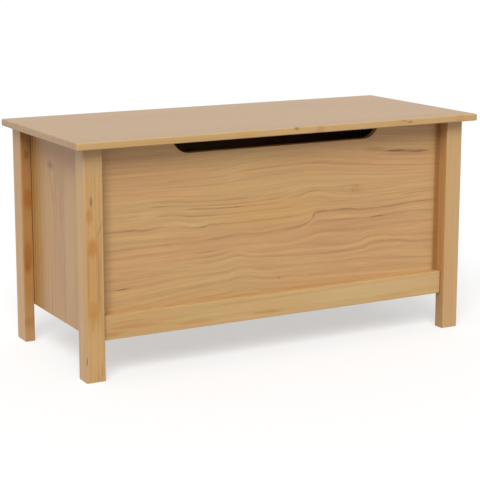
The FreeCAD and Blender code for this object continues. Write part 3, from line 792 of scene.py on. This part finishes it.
FRONT_PINE = PineFinish(
    "front pine", (197, 158, 104), (158, 108, 62), (199, 153, 102), seed=3,
    spacing=15, wander=3, pith_across=-550, pith_depth=300, contrast=0.32, streaks=0.17,
    knots=(
        Knot(223, 68, 7, 3, (184, 132, 76), 0.35), Knot(1, -137, 1.6, 1.5, (120, 76, 40), 0.6),
    ),
    stains=(
        Stain(345, 154, 40, 3.6, (92, 54, 26), 0.85, -0.04),
        Stain(405, 149, 36, 2.8, (98, 58, 28), 0.8, -0.02), Stain(280, 163, 35, 6, (170, 118, 72), 0.5, -0.1),
        Stain(370, 148, 80, 8, (176, 126, 80), 0.45, -0.03), Stain(98.5, 11, 2.6, 9, (132, 94, 48), 0.5),
        Stain(122, 20.5, 20, 1.4, (120, 84, 42), 0.5), Stain(289, -8.5, 24, 1.3, (112, 92, 54), 0.8),
        Stain(-208, 10.8, 9, 1.3, (120, 80, 42), 0.7, 0.1),
        Stain(-118, 51.5, 13, 1.3, (124, 74, 42), 0.7, 0.02),
        Stain(-420, -116.5, 22, 1.3, (116, 72, 38), 0.8, 0.06), Stain(213, 66, 3, 6, (160, 114, 68), 0.45),
        Stain(224, 74.5, 9, 2.2, (160, 114, 68), 0.4), Stain(226, 62.5, 10, 2.2, (160, 114, 68), 0.4),
        Stain(-20, 35, 160, 40, (202, 148, 84), 0.35), Stain(-350, 51, 30, 11, (206, 174, 124), 0.4),
        Stain(380, -104, 90, 7, (206, 172, 120), 0.4, -0.08),
        # On these two lines, the bands at 471 and 479 are painted shade at the right end beside the right
        # leg, darker brown partly for the board's resin-rich end and partly for shade in the recess; the band
        # at -461 is painted shade at the left end beside the left leg.
        Stain(100, 100, 300, 20, (196, 162, 108), 0.35, -0.05), Stain(471, 0, 10, 2000, (122, 70, 28), 0.7),
        Stain(479, 0, 24, 2000, (160, 112, 60), 0.4), Stain(-461, 0, 16, 2000, (160, 112, 68), 0.25),
    ),
    veins=(
        Vein(-134, -500, 230, 2.6, 0.18), Vein(-106, -500, 260, 2.2, 0.17), Vein(-106, 260, 500, 2.6, 0.21),
        Vein(-92, -500, -220, 2, 0.13), Vein(-89, 260, 500, 2.2, 0.2), Vein(-78, -220, 500, 1.8, 0.26),
        Vein(-63, -220, -140, 1.5, 0.4), Vein(-63, 100, 500, 1.6, 0.22), Vein(-46, -220, -170, 1.5, 0.45),
        Vein(-46, 80, 500, 2, 0.24), Vein(-32, 100, 500, 1.3, 0.42), Vein(-18, -200, 500, 1.5, 0.36),
        Vein(-18, 30, 500, 1.4, 0.32), Vein(13.5, -500, -320, 1.8, 0.55), Vein(13.5, -260, 60, 1.6, 0.36),
        Vein(38, -330, 30, 1.9, 0.42), Vein(38, 130, 200, 1.4, 0.3), Vein(38, 370, 500, 1.5, 0.5),
        Vein(50, 380, 500, 1, 0.3), Vein(56, -250, 0, 1.5, 0.5), Vein(56, 30, 120, 1.6, 0.38),
        Vein(63.6, -340, 0, 1.4, 0.42), Vein(73, -330, 20, 1.6, 0.35), Vein(73, 60, 250, 1.4, 0.35),
        Vein(93, -200, 250, 1.6, 0.2), Vein(115, -330, 400, 1.8, 0.22), Vein(133, -300, 500, 2, 0.25),
    ),
    guides=(
        Guide(-134, {-480: -157, -400: -152, -320: -143, -220: -134, -140: -130, -108: -125, -40: -133,
            60: -138, 210: -142, 480: -156}),
        Guide(-106, {-480: -117, -380: -114, -280: -105, -150: -101, -108: -93, -60: -100, 60: -108,
            230: -110, 300: -117, 480: -133}),
        Guide(-78, {-480: -77, -340: -75, -215: -78, -150: -73, -108: -69, -90: -75, 80: -85, 160: -89,
            240: -86, 272: -76, 310: -74, 400: -83, 480: -87}),
        Guide(-63, {-480: -64, -210: -63, -155: -60, -108: -56, -80: -62, 0: -65, 110: -63, 180: -68,
            240: -63, 265: -57, 300: -56, 335: -63, 480: -69}),
        Guide(-46, {-480: -50, -200: -50, -108: -45, 0: -50, 60: -45, 100: -34, 140: -31, 200: -35,
            260: -32, 350: -30, 480: -37}),
        Guide(-32, {-480: -36, 0: -33, 60: -27, 90: -11, 105: -6, 210: -8, 262: -9, 340: -4, 480: -9}),
        Guide(-18, {-480: -20, -190: -19, -110: -15, -60: -19, 0: -15, 40: -13, 70: -8, 91: 0, 99: 13,
            108: 20, 190: 21, 240: 16, 330: 17, 400: 20, 480: 20}),
        Guide(13.5, {-480: 16, -385: 20, -365: 17, -325: 20, -240: 11, -212: 10, -190: 14, -100: 12, 60: 15,
            91: 20, 108: 24, 190: 25, 240: 20, 330: 21, 400: 24, 480: 24}),
        Guide(38, {-480: 47, -320: 47, -230: 38, -120: 36, 0: 36, 60: 38, 100: 45, 140: 39, 370: 40,
            410: 43, 480: 42}),
        Guide(56, {-480: 60, -320: 60, -240: 56, -130: 51, -20: 50, 30: 61, 70: 66, 97: 72, 150: 63,
            260: 53, 360: 56, 480: 55}),
        Guide(73, {-480: 82, -300: 80, -240: 74, -100: 70, -50: 71, 30: 76, 95: 80, 130: 76, 260: 73,
            480: 70}),
        Guide(133, {-480: 128, -190: 128, -150: 130, -80: 138, 70: 143, 160: 136, 260: 125, 310: 120,
            480: 111}),
    ),
)
RAIL_PINE = PineFinish(
    "rail pine", (198, 163, 106), (174, 124, 70), (200, 160, 109), seed=11,
    spacing=12, wander=4, slope=0.006, pith_across=-300, pith_depth=200, contrast=0.35, streaks=0.12,
    stains=(
        Stain(-380, 0, 120, 30, (194, 148, 90), 0.4), Stain(-400, -4, 80, 5, (184, 122, 62), 0.5, -0.01),
        Stain(-455, -17, 30, 6, (182, 120, 58), 0.5), Stain(-410, 9, 50, 3.5, (188, 134, 74), 0.45),
        Stain(-235, -14, 60, 5, (188, 132, 68), 0.5), Stain(-45, -14.5, 45, 4, (184, 126, 58), 0.6, -0.02),
        Stain(330, -18, 60, 5, (196, 144, 90), 0.4), Stain(250, 6, 220, 20, (206, 175, 127), 0.45),
        # This band is a painted contact shadow: a thin dark line where the rail's end meets the right leg.
        Stain(477.5, 0, 3.5, 500, (104, 56, 28), 0.9),
    ),
)
LEFT_LEG_PINE = PineFinish(
    "left leg pine", (200, 162, 110), (168, 114, 56), (197, 154, 96), seed=21,
    spacing=11, wander=5, pith_across=60, pith_depth=-30, contrast=0.45, streaks=0.1,
    stains=(
        # The first band is painted shade: the top of the leg darker under the lid.
        Stain(250, 0, 50, 300, (186, 150, 104), 0.55), Stain(151, -6.5, 14, 3.4, (134, 98, 46), 0.75),
        Stain(118, -11.5, 20, 9.5, (186, 126, 60), 0.75), Stain(85, 13.5, 20, 3, (164, 124, 66), 0.55, 0.38),
        Stain(43, -4, 24, 13.5, (186, 120, 52), 0.8), Stain(-28, -2, 60, 11, (196, 142, 84), 0.5),
        Stain(-30, 10.5, 100, 3.4, (168, 120, 58), 0.6), Stain(-30, -15.8, 100, 2.4, (166, 124, 64), 0.55),
        Stain(-100, -5, 24, 13.5, (190, 134, 66), 0.8), Stain(-120, -5, 18, 9, (182, 130, 56), 0.5),
        Stain(-142, -6.5, 18, 3.5, (160, 120, 58), 0.45), Stain(-190, 4, 60, 20, (206, 168, 112), 0.45),
        Stain(-245, 14.5, 14, 1.8, (176, 120, 64), 0.5), Stain(-220, -22.2, 11, 0.9, (92, 58, 32), 0.95),
    ),
)
RIGHT_LEG_PINE = PineFinish(
    "right leg pine", (199, 164, 112), (177, 132, 80), (200, 158, 106), seed=34,
    spacing=9, wander=2, pith_across=300, pith_depth=200, contrast=0.35, streaks=0.09,
    # Its one band is painted shade: the leg's inner face, in the recess beside the front panel, darker and
    # more orange.
    stains=(Stain(50, -23.8, 1200, 3, (168, 110, 48), 0.4),),
)
REAR_LEG_PINE = PineFinish(
    "rear leg pine", (200, 160, 110), (168, 116, 66), (196, 150, 98), seed=43,
    spacing=10, wander=4, pith_across=50, pith_depth=80, contrast=0.45, streaks=0.1,
    stains=(
        # The first band is painted shade: the leg's front face, in the recess between the leg and the side
        # panel, darker and browner; the smaller patches after it are the leg's own figure.
        Stain(80, -28, 420, 6, (164, 116, 52), 0.7), Stain(93, -28, 30, 7, (160, 88, 32), 0.65, 0, 4, 14),
        Stain(-52, -28, 44, 7, (158, 90, 34), 0.6, 0, 0, 13),
        Stain(204, -28, 12, 6, (112, 68, 30), 0.5, 0, 2, 7), Stain(160, -28, 12, 6, (178, 124, 78), 0.45),
        Stain(-80, -28, 14, 6, (146, 78, 28), 0.5, 0, -2, 7), Stain(-222, -28, 14, 6, (176, 112, 66), 0.5),
    ),
)
SIDE_PINE = PineFinish(
    "side pine", (194, 153, 102), (150, 100, 58), (186, 142, 98), seed=57,
    spacing=13, wander=7, pith_across=30, pith_depth=25, contrast=0.65, streaks=0.19,
    stave=130, stave_shift=20, stave_contrast=0.06,
    knots=(
        Knot(150, 24, 7, 5, (120, 74, 50), 0.5),
    ),
    stains=(
        Stain(52, -38.5, 45, 5, (170, 112, 72), 0.5), Stain(149, 21, 7, 24, (122, 78, 56), 0.5),
        Stain(52, -14.5, 30, 3, (166, 114, 78), 0.5), Stain(100, 20, 50, 4, (156, 100, 66), 0.45, 0.25),
        Stain(100, -10, 50, 4, (156, 100, 66), 0.4, -0.2), Stain(20, -100, 200, 50, (204, 164, 114), 0.5),
        # Painted shade: the first band on this line darkens the top of the panel under the lid, and the long
        # band at 128 is a darker, more orange strip beside the rear leg where shade falls in the corner, with
        # thin darker lines in it.
        Stain(200, 0, 55, 300, (178, 126, 78), 0.75), Stain(0, 128, 1200, 66, (176, 127, 58), 0.75),
        Stain(0, 136, 1200, 2.5, (132, 80, 34), 0.6), Stain(0, 118, 1200, 2.5, (140, 90, 42), 0.5),
        # The band at 153.5 on this line is a painted shadow in the joint between the panel and the rear leg.
        Stain(0, 97, 1200, 3, (150, 100, 48), 0.4), Stain(0, 153.5, 1200, 4.5, (92, 50, 20), 0.9),
    ),
)
BACK_PINE = PineFinish(
    "back pine", (202, 160, 108), (166, 116, 70), (200, 152, 106), seed=66,
    spacing=18, wander=8, pith_across=-20, pith_depth=50, contrast=0.42, streaks=0.09,
    stave=150, stave_shift=40, stave_contrast=0.05,
    knots=(
        Knot(-280, 60, 8, 9), Knot(360, -90, 6, 7),
    ),
)
LID_EDGE = -243.8
LID_PINE = PineFinish(
    "lid pine", (177, 143, 98), (152, 112, 72), (175, 139, 98), seed=75,
    spacing=16, wander=6, pith_across=-20, pith_depth=-70, contrast=0.5, streaks=0.14,
    stave=122, stave_shift=60, stave_contrast=0.04,
    stains=(
        # The first band gives the whole front edge a lighter, more saturated colour than the top.
        Stain(0, LID_EDGE, 6000, 6, (202, 164, 106), 0.75),
        Stain(-124, LID_EDGE, 30, 8, (200, 140, 76), 0.35),
        Stain(13, LID_EDGE, 7, 4, (124, 82, 44), 0.7, 0, 6, 4.5),
        Stain(80, LID_EDGE, 12, 5, (182, 124, 66), 0.45),
        Stain(322, LID_EDGE, 11, 4, (150, 102, 54), 0.7, 0, 5, 2.6),
        Stain(340, LID_EDGE, 10, 4, (124, 80, 40), 0.75, 0, 0.5, 2.6),
        Stain(310, LID_EDGE, 30, 8, (196, 148, 84), 0.45), Stain(496, LID_EDGE, 13, 6, (194, 134, 78), 0.4),
        Stain(-300, LID_EDGE, 200, 6, (186, 142, 84), 0.5, 0, -2, 2.2),
    ),
)
INNER_PINE = PineFinish(
    "inner pine", (208, 172, 122), (176, 128, 78), (206, 164, 116), seed=88,
    spacing=9, wander=3, pith_across=20, pith_depth=30, contrast=0.45, streaks=0.1,
    gloss=(0.5, 0.66),
)
BIRCH_PLY = PineFinish(
    "birch ply", (214, 184, 138), (188, 148, 100), (208, 174, 128), seed=97,
    spacing=45, wander=30, pith_across=-100, pith_depth=20, contrast=0.4, streaks=0.06,
    gloss=(0.5, 0.62),
)
BEECH = PineFinish(
    "beech", (206, 160, 112), (176, 128, 84), (200, 152, 106), seed=105,
    spacing=4, wander=1, contrast=0.3, streaks=0.08, gloss=(0.5, 0.62),
)
BRASSED_STEEL = PlatedFinish("brassed steel", (214, 190, 128), (186, 160, 98))
ZINC_STEEL = PlatedFinish("zinc steel", (205, 206, 208), (170, 172, 176))
SCREW_STEEL = PlatedFinish("screw steel", (210, 208, 200), (164, 162, 156), (0.3, 0.46))
Finish = PineFinish | PlatedFinish


def dress(node: str, finish: Finish, lay: Lay) -> None:
    """Give a node of the frame its finish.

    Args:
        node: Name of the node.
        finish: The finish.
        lay: How its grain or brushed lines run.
    """
    materials = frame["nodes"][node].data.materials
    materials.clear()
    materials.append(finish.build(f"{finish.name} {node}", lay, Extent.of(node)))
    log.info("dressed node %s in %s", node, finish.name)


def add_piece(name: str, shape: Mesh, node: str, finish: Finish, lay: Lay) -> None:
    """Make a shape into a piece that stands for a node of the frame.

    Args:
        name: Name of the piece.
        shape: Its mesh, which is freed.
        node: The node that it replaces.
        finish: Its finish.
        lay: How its grain runs.
    """
    bmesh.ops.recalc_face_normals(shape, faces=shape.faces)
    piece = add_object(name, shape)
    piece.data.materials.append(finish.build(f"{finish.name} {name}", lay, Extent.of(node)))
    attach(piece, frame["nodes"][node]["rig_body"])
    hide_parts(node)
    log.info("piece %s stands for %s, with %d faces", name, node, len(piece.data.polygons))


def add_object(name: str, content: Mesh | bpy.types.ID) -> bpy.types.Object:
    """Put a mesh, a lamp or a camera into the scene.

    Args:
        name: Name of the object.
        content: Its data, or a mesh that is still being edited and is then freed.

    Returns:
        The object.
    """
    if isinstance(content, Mesh):
        shape, content = content, bpy.data.meshes.new(name)
        shape.to_mesh(content)
        shape.free()
    made = bpy.data.objects.new(name, content)
    bpy.context.scene.collection.objects.link(made)
    return made


def extruded(outline: list[Vector], way: Vector) -> Mesh:
    """A solid swept straight from a flat outline.

    Args:
        outline: Corners of the outline, in order.
        way: How far it is swept.

    Returns:
        The solid.
    """
    shape = bmesh.new()
    face = shape.faces.new([shape.verts.new(point) for point in outline])
    swept = bmesh.ops.extrude_face_region(shape, geom=[face])["geom"]
    moved = [item for item in swept if isinstance(item, bmesh.types.BMVert)]
    bmesh.ops.translate(shape, verts=moved, vec=way)
    bmesh.ops.recalc_face_normals(shape, faces=shape.faces)
    return shape


def block(extent: Extent) -> Mesh:
    """A plain block that fills a box.

    Args:
        extent: The box.

    Returns:
        The block.
    """
    low, high = extent.low, extent.high
    corners = ((low.x, low.y), (high.x, low.y), (high.x, high.y), (low.x, high.y))
    return extruded([Vector((x, y, low.z)) for x, y in corners], Vector((0, 0, high.z - low.z)))


def ease(shape: Mesh, radius: float, segments: int,
         chosen: Callable[[Edge], bool] = lambda edge: True) -> None:
    """Round some sharp edges of a shape.

    Args:
        shape: The shape.
        radius: Radius of the rounding.
        segments: Faces across the rounding.
        chosen: Whether an edge is rounded.
    """
    edges = [edge for edge in shape.edges if edge.calc_face_angle(0.0) > SHARP_TURN and chosen(edge)]
    flat = set(shape.faces)
    made = bmesh.ops.bevel(shape, geom=edges, offset=radius, segments=segments, profile=0.5, affect="EDGES",
                           clamp_overlap=True)
    for face in made["faces"]:
        face.smooth = face not in flat


def is_upright(edge: Edge) -> bool:
    """Whether an edge rises steeply."""
    first, second = (vertex.co for vertex in edge.verts)
    return abs(first.z - second.z) > STEEPNESS * (first.xy - second.xy).length


def is_level(edge: Edge) -> bool:
    """Whether an edge doesn't rise steeply."""
    return not is_upright(edge)


@dataclass
class Legs:
    """The four legs: a stepped post at each front corner and a plank at each rear one."""

    post_width: float = 47 * MM
    post_depth: float = 30 * MM
    cheek: float = 25 * MM
    corner_round: float = 2.5 * MM
    corner_segments: int = 5
    end_round: float = 0.9 * MM
    end_segments: int = 2

    def front(self, side: Side, finish: PineFinish) -> None:
        """Build one front leg with its cheek behind the panel's end.

        Args:
            side: Which side the leg is on.
            finish: Its finish.
        """
        extent = Extent.of(f"front_{side}_leg")
        outer = extent.low.x if side is Side.LEFT else extent.high.x
        front, back = extent.low.y, extent.high.y
        points = ((0, front), (self.post_width, front), (self.post_width, front + self.post_depth),
                  (self.cheek, front + self.post_depth), (self.cheek, back), (0, back))
        outline = [Vector((outer - side.value * across, deep, extent.low.z)) for across, deep in points]
        inner, near, far = abs(outer) - self.cheek + MM, front + MM, back - MM

        def is_free(edge: Edge) -> bool:
            """Whether an edge is an upright one on the outside of the leg."""
            place = edge.verts[0].co
            return is_upright(edge) and (place.y < near or abs(place.x) > inner and place.y > far)

        shape = extruded(outline, Vector((0, 0, extent.size.z)))
        self.soften(shape, is_free)
        add_piece(f"{side}_front_post", shape, f"front_{side}_leg", finish, Lay.POST)

    def rear(self, side: Side) -> None:
        """Build one rear leg, a plank with its wide face outwards.

        Args:
            side: Which side the leg is on.
        """
        extent = Extent.of(f"rear_{side}_leg")
        shape = block(extent)
        middle = abs(extent.centre.x)
        self.soften(shape, lambda edge: is_upright(edge) and abs(edge.verts[0].co.x) > middle)
        add_piece(f"{side}_rear_plank", shape, f"rear_{side}_leg", REAR_LEG_PINE, Lay.SIDE)

    def soften(self, shape: Mesh, chosen: Callable[[Edge], bool]) -> None:
        """Round a leg's chosen corners, and slightly its ends."""
        ease(shape, self.corner_round, self.corner_segments, chosen)
        ease(shape, self.end_round, self.end_segments, is_level)

    def build(self) -> None:
        """Build all four legs."""
        self.front(Side.LEFT, LEFT_LEG_PINE)
        self.front(Side.RIGHT, RIGHT_LEG_PINE)
        self.rear(Side.LEFT)
        self.rear(Side.RIGHT)


@dataclass
class FrontWall:
    """The front panel with its finger slot, and the rail below it."""

    slot_flat: float = 486 * MM
    slot_radius: float = 45 * MM
    slot_depth: float = 33 * MM
    slot_steps: int = 14
    rim_round: float = 1.5 * MM
    rim_segments: int = 4

    def panel_outline(self, extent: Extent) -> list[Vector]:
        """The panel's front face, with the slot let into its top edge.

        Args:
            extent: The panel's box.

        Returns:
            The corners in order.
        """
        low, high = extent.low, extent.high
        centre_height = high.z - self.slot_depth + self.slot_radius
        sweep = math.acos(1 - self.slot_depth / self.slot_radius)
        half = []
        for step in range(self.slot_steps + 1):
            angle = sweep * (1 - step / self.slot_steps)
            half.append((self.slot_flat / 2 + self.slot_radius * math.sin(angle),
                         centre_height - self.slot_radius * math.cos(angle)))
        corners = [(low.x, low.z), (high.x, low.z), (high.x, high.z), *half,
                   *((-across, height) for across, height in reversed(half)), (low.x, high.z)]
        return [Vector((across, low.y, height)) for across, height in corners]

    def build(self) -> None:
        """Build the panel and the rail."""
        extent = Extent.of("front_panel")
        shape = extruded(self.panel_outline(extent), Vector((0, extent.size.y, 0)))
        reach = self.slot_flat / 2 + self.slot_radius
        floor = extent.high.z - self.slot_depth - MM

        def is_rim(edge: Edge) -> bool:
            """Whether an edge lies on the slot's rim.

            Args:
                edge: The edge.

            Returns:
                True for an edge that follows the slot on either face of the panel.
            """
            first, second = (vertex.co for vertex in edge.verts)
            middle = (first + second) / 2
            return abs(first.y - second.y) < MM and abs(middle.x) < reach and middle.z > floor

        ease(shape, self.rim_round, self.rim_segments, is_rim)
        add_piece("front_board", shape, "front_panel", FRONT_PINE, Lay.WALL)
        shape = block(Extent.of("front_rail"))
        ease(shape, self.rim_round, self.rim_segments)
        add_piece("front_apron", shape, "front_rail", RAIL_PINE, Lay.WALL)


@dataclass
class Walls:
    """The side and back panels with the battens inside their corners."""

    batten_finish: PineFinish = INNER_PINE

    def build(self) -> None:
        """Dress the panels and battens."""
        dress("back_panel", BACK_PINE, Lay.WALL)
        for side in Side:
            dress(f"{side}_side_panel", SIDE_PINE, Lay.SIDE)
            for end in ("front", "rear"):
                dress(f"{end}_{side}_corner_batten", self.batten_finish, Lay.POST)


@dataclass
class Floor:
    """The floor panel and its cleats."""

    cleat_finish: PineFinish = INNER_PINE

    def build(self) -> None:
        """Dress the floor and the cleats."""
        dress("floor_panel", BIRCH_PLY, Lay.TOP)
        for end in ("front", "back"):
            dress(f"{end}_floor_cleat", self.cleat_finish, Lay.WALL)
        for side in Side:
            dress(f"{side}_floor_cleat", self.cleat_finish, Lay.CROSS)


@dataclass
class Lid:
    """The lid's panel with soft edges, and the battens that keep it flat."""

    corner_round: float = 5 * MM
    edge_round: float = 3 * MM
    segments: int = 6

    def build(self) -> None:
        """Build the lid."""
        shape = block(Extent.of("lid_panel"))
        ease(shape, self.corner_round, self.segments, is_upright)
        ease(shape, self.edge_round, self.segments, is_level)
        add_piece("lid_board", shape, "lid_panel", LID_PINE, Lay.TOP)
        for side in Side:
            dress(f"{side}_lid_batten", INNER_PINE, Lay.CROSS)


@dataclass
class Hardware:
    """Hinges, folding stays and fasteners."""

    hinge_parts: tuple[str, ...] = ("body_leaf", "lid_leaf", "pin")
    stay_parts: tuple[str, ...] = ("side_bracket", "lid_bracket", "lower_arm", "upper_arm", "foot_rivet",
                                   "elbow_rivet", "lid_rivet")
    hinge_screws: tuple[str, ...] = ("hinge_body_screws", "hinge_lid_screws")
    screws: tuple[str, ...] = ("cleat_screws", "corner_batten_screws", "lid_batten_screws", "rail_screws",
                               "rear_leg_screws", "stay_lid_screws", "stay_side_screws")

    def build(self) -> None:
        """Dress all of the metal, and the dowels."""
        for side in Side:
            for part in self.hinge_parts:
                dress(f"{side}_hinge_{part}", BRASSED_STEEL, Lay.TOP)
            for part in self.stay_parts:
                dress(f"{side}_stay_{part}", ZINC_STEEL, Lay.SIDE)
        for group in self.hinge_screws:
            dress(group, BRASSED_STEEL, Lay.TOP)
        for group in self.screws:
            dress(group, SCREW_STEEL, Lay.TOP)
        dress("rail_dowels", BEECH, Lay.TOP)


def seen_directly(graph: Graph) -> Value:
    """Tell what the camera and reflections see from the light that spreads from surface to surface.

    Args:
        graph: The material's or the world's graph.

    Returns:
        One for the camera and for reflections, zero for other light.
    """
    ray = graph.add("ShaderNodeLightPath").outputs
    sharp = graph.math("MAXIMUM", ray["Is Glossy Ray"], ray["Is Transmission Ray"])
    return graph.math("MAXIMUM", ray["Is Camera Ray"], sharp)


@dataclass(frozen=True)
class Lamp:
    """A soft lamp far from the box, given by where it stands as seen from the box."""

    name: str
    azimuth: float
    elevation: float
    strength: float
    spread: float

    def build(self) -> None:
        """Hang the lamp."""
        data = bpy.data.lights.new(self.name, "SUN")
        data.energy = self.strength
        data.angle = math.radians(self.spread)
        lamp = add_object(self.name, data)
        lamp.rotation_euler = (math.radians(90 - self.elevation), 0.0, math.radians(self.azimuth))


@dataclass
class Studio:
    """The camera, the light and the pale floor."""

    camera_place: tuple[float, float, float] = (-1.7730, -3.2113, 1.0306)
    turn: float = 28.47
    dip: float = 10.98
    focal: float = 110.1
    sensor: float = 36.0
    shift: Pair = (0.0179, -0.06)
    sight: float = 200.0
    dome_front: float = 0.38
    dome_back: float = 0.66
    dome_change: Pair = (-0.3, 0.8)
    backdrop: float = 1.0
    floor_half: float = 40.0
    floor_paint: Colour = (0.5, 0.5, 0.5, 1.0)
    floor_glow: float = 0.51
    white: Colour = (1.0, 1.0, 1.0, 1.0)
    key: Lamp = Lamp("key", azimuth=-33.0, elevation=43.0, strength=2.5, spread=34.0)

    def build(self) -> None:
        """Set up the studio."""
        self.add_camera()
        self.add_dome()
        self.add_floor()
        self.key.build()
        bpy.context.scene.view_settings.view_transform = "Standard"

    def add_camera(self) -> None:
        """Put the camera where the front and the left side show."""
        data = bpy.data.cameras.new("camera")
        data.lens = self.focal
        data.sensor_width = self.sensor
        data.shift_x, data.shift_y = self.shift
        data.clip_end = self.sight
        camera = add_object("camera", data)
        camera.location = self.camera_place
        camera.rotation_euler = (math.radians(90 - self.dip), 0.0, math.radians(-self.turn))
        bpy.context.scene.camera = camera

    def add_dome(self) -> None:
        """Light the box with an even dome, which the camera and reflections see as a white backdrop."""
        world = bpy.data.worlds.new("dome")
        world.use_nodes = True
        graph = Graph(world.node_tree)
        graph.tree.nodes.clear()
        backwards = graph.axes(graph.read("Generated", "ShaderNodeTexCoord"))[1]
        dome = graph.span(backwards, *self.dome_change, self.dome_front, self.dome_back)
        strength = graph.span(seen_directly(graph), 0.0, 1.0, dome, self.backdrop, smooth=False)
        light = graph.add("ShaderNodeBackground", {"Color": self.white, "Strength": strength})
        graph.add("ShaderNodeOutputWorld", {"Surface": light.outputs[0]})
        bpy.context.scene.world = world

    def add_floor(self) -> None:
        """Lay a white floor that keeps the box's shadow."""
        shape = bmesh.new()
        bmesh.ops.create_grid(shape, x_segments=1, y_segments=1, size=self.floor_half)
        floor = add_object("floor", shape)
        surface = Surface("white floor")
        surface["Base Color"] = self.floor_paint
        surface["Emission Color"] = self.white
        surface["Emission Strength"] = seen_directly(surface) * self.floor_glow
        surface["Roughness"] = 1.0
        surface["Specular IOR Level"] = 0.0
        floor.data.materials.append(surface.material)


def main() -> None:
    """Build the box's looks and the studio."""
    logging.basicConfig(level=logging.INFO, format="%(name)s: %(message)s")
    for assembly in (Studio(), Legs(), FrontWall(), Walls(), Floor(), Lid(), Hardware()):
        assembly.build()
        log.info("built %s", type(assembly).__name__)


if __name__ == "__main__":
    main()
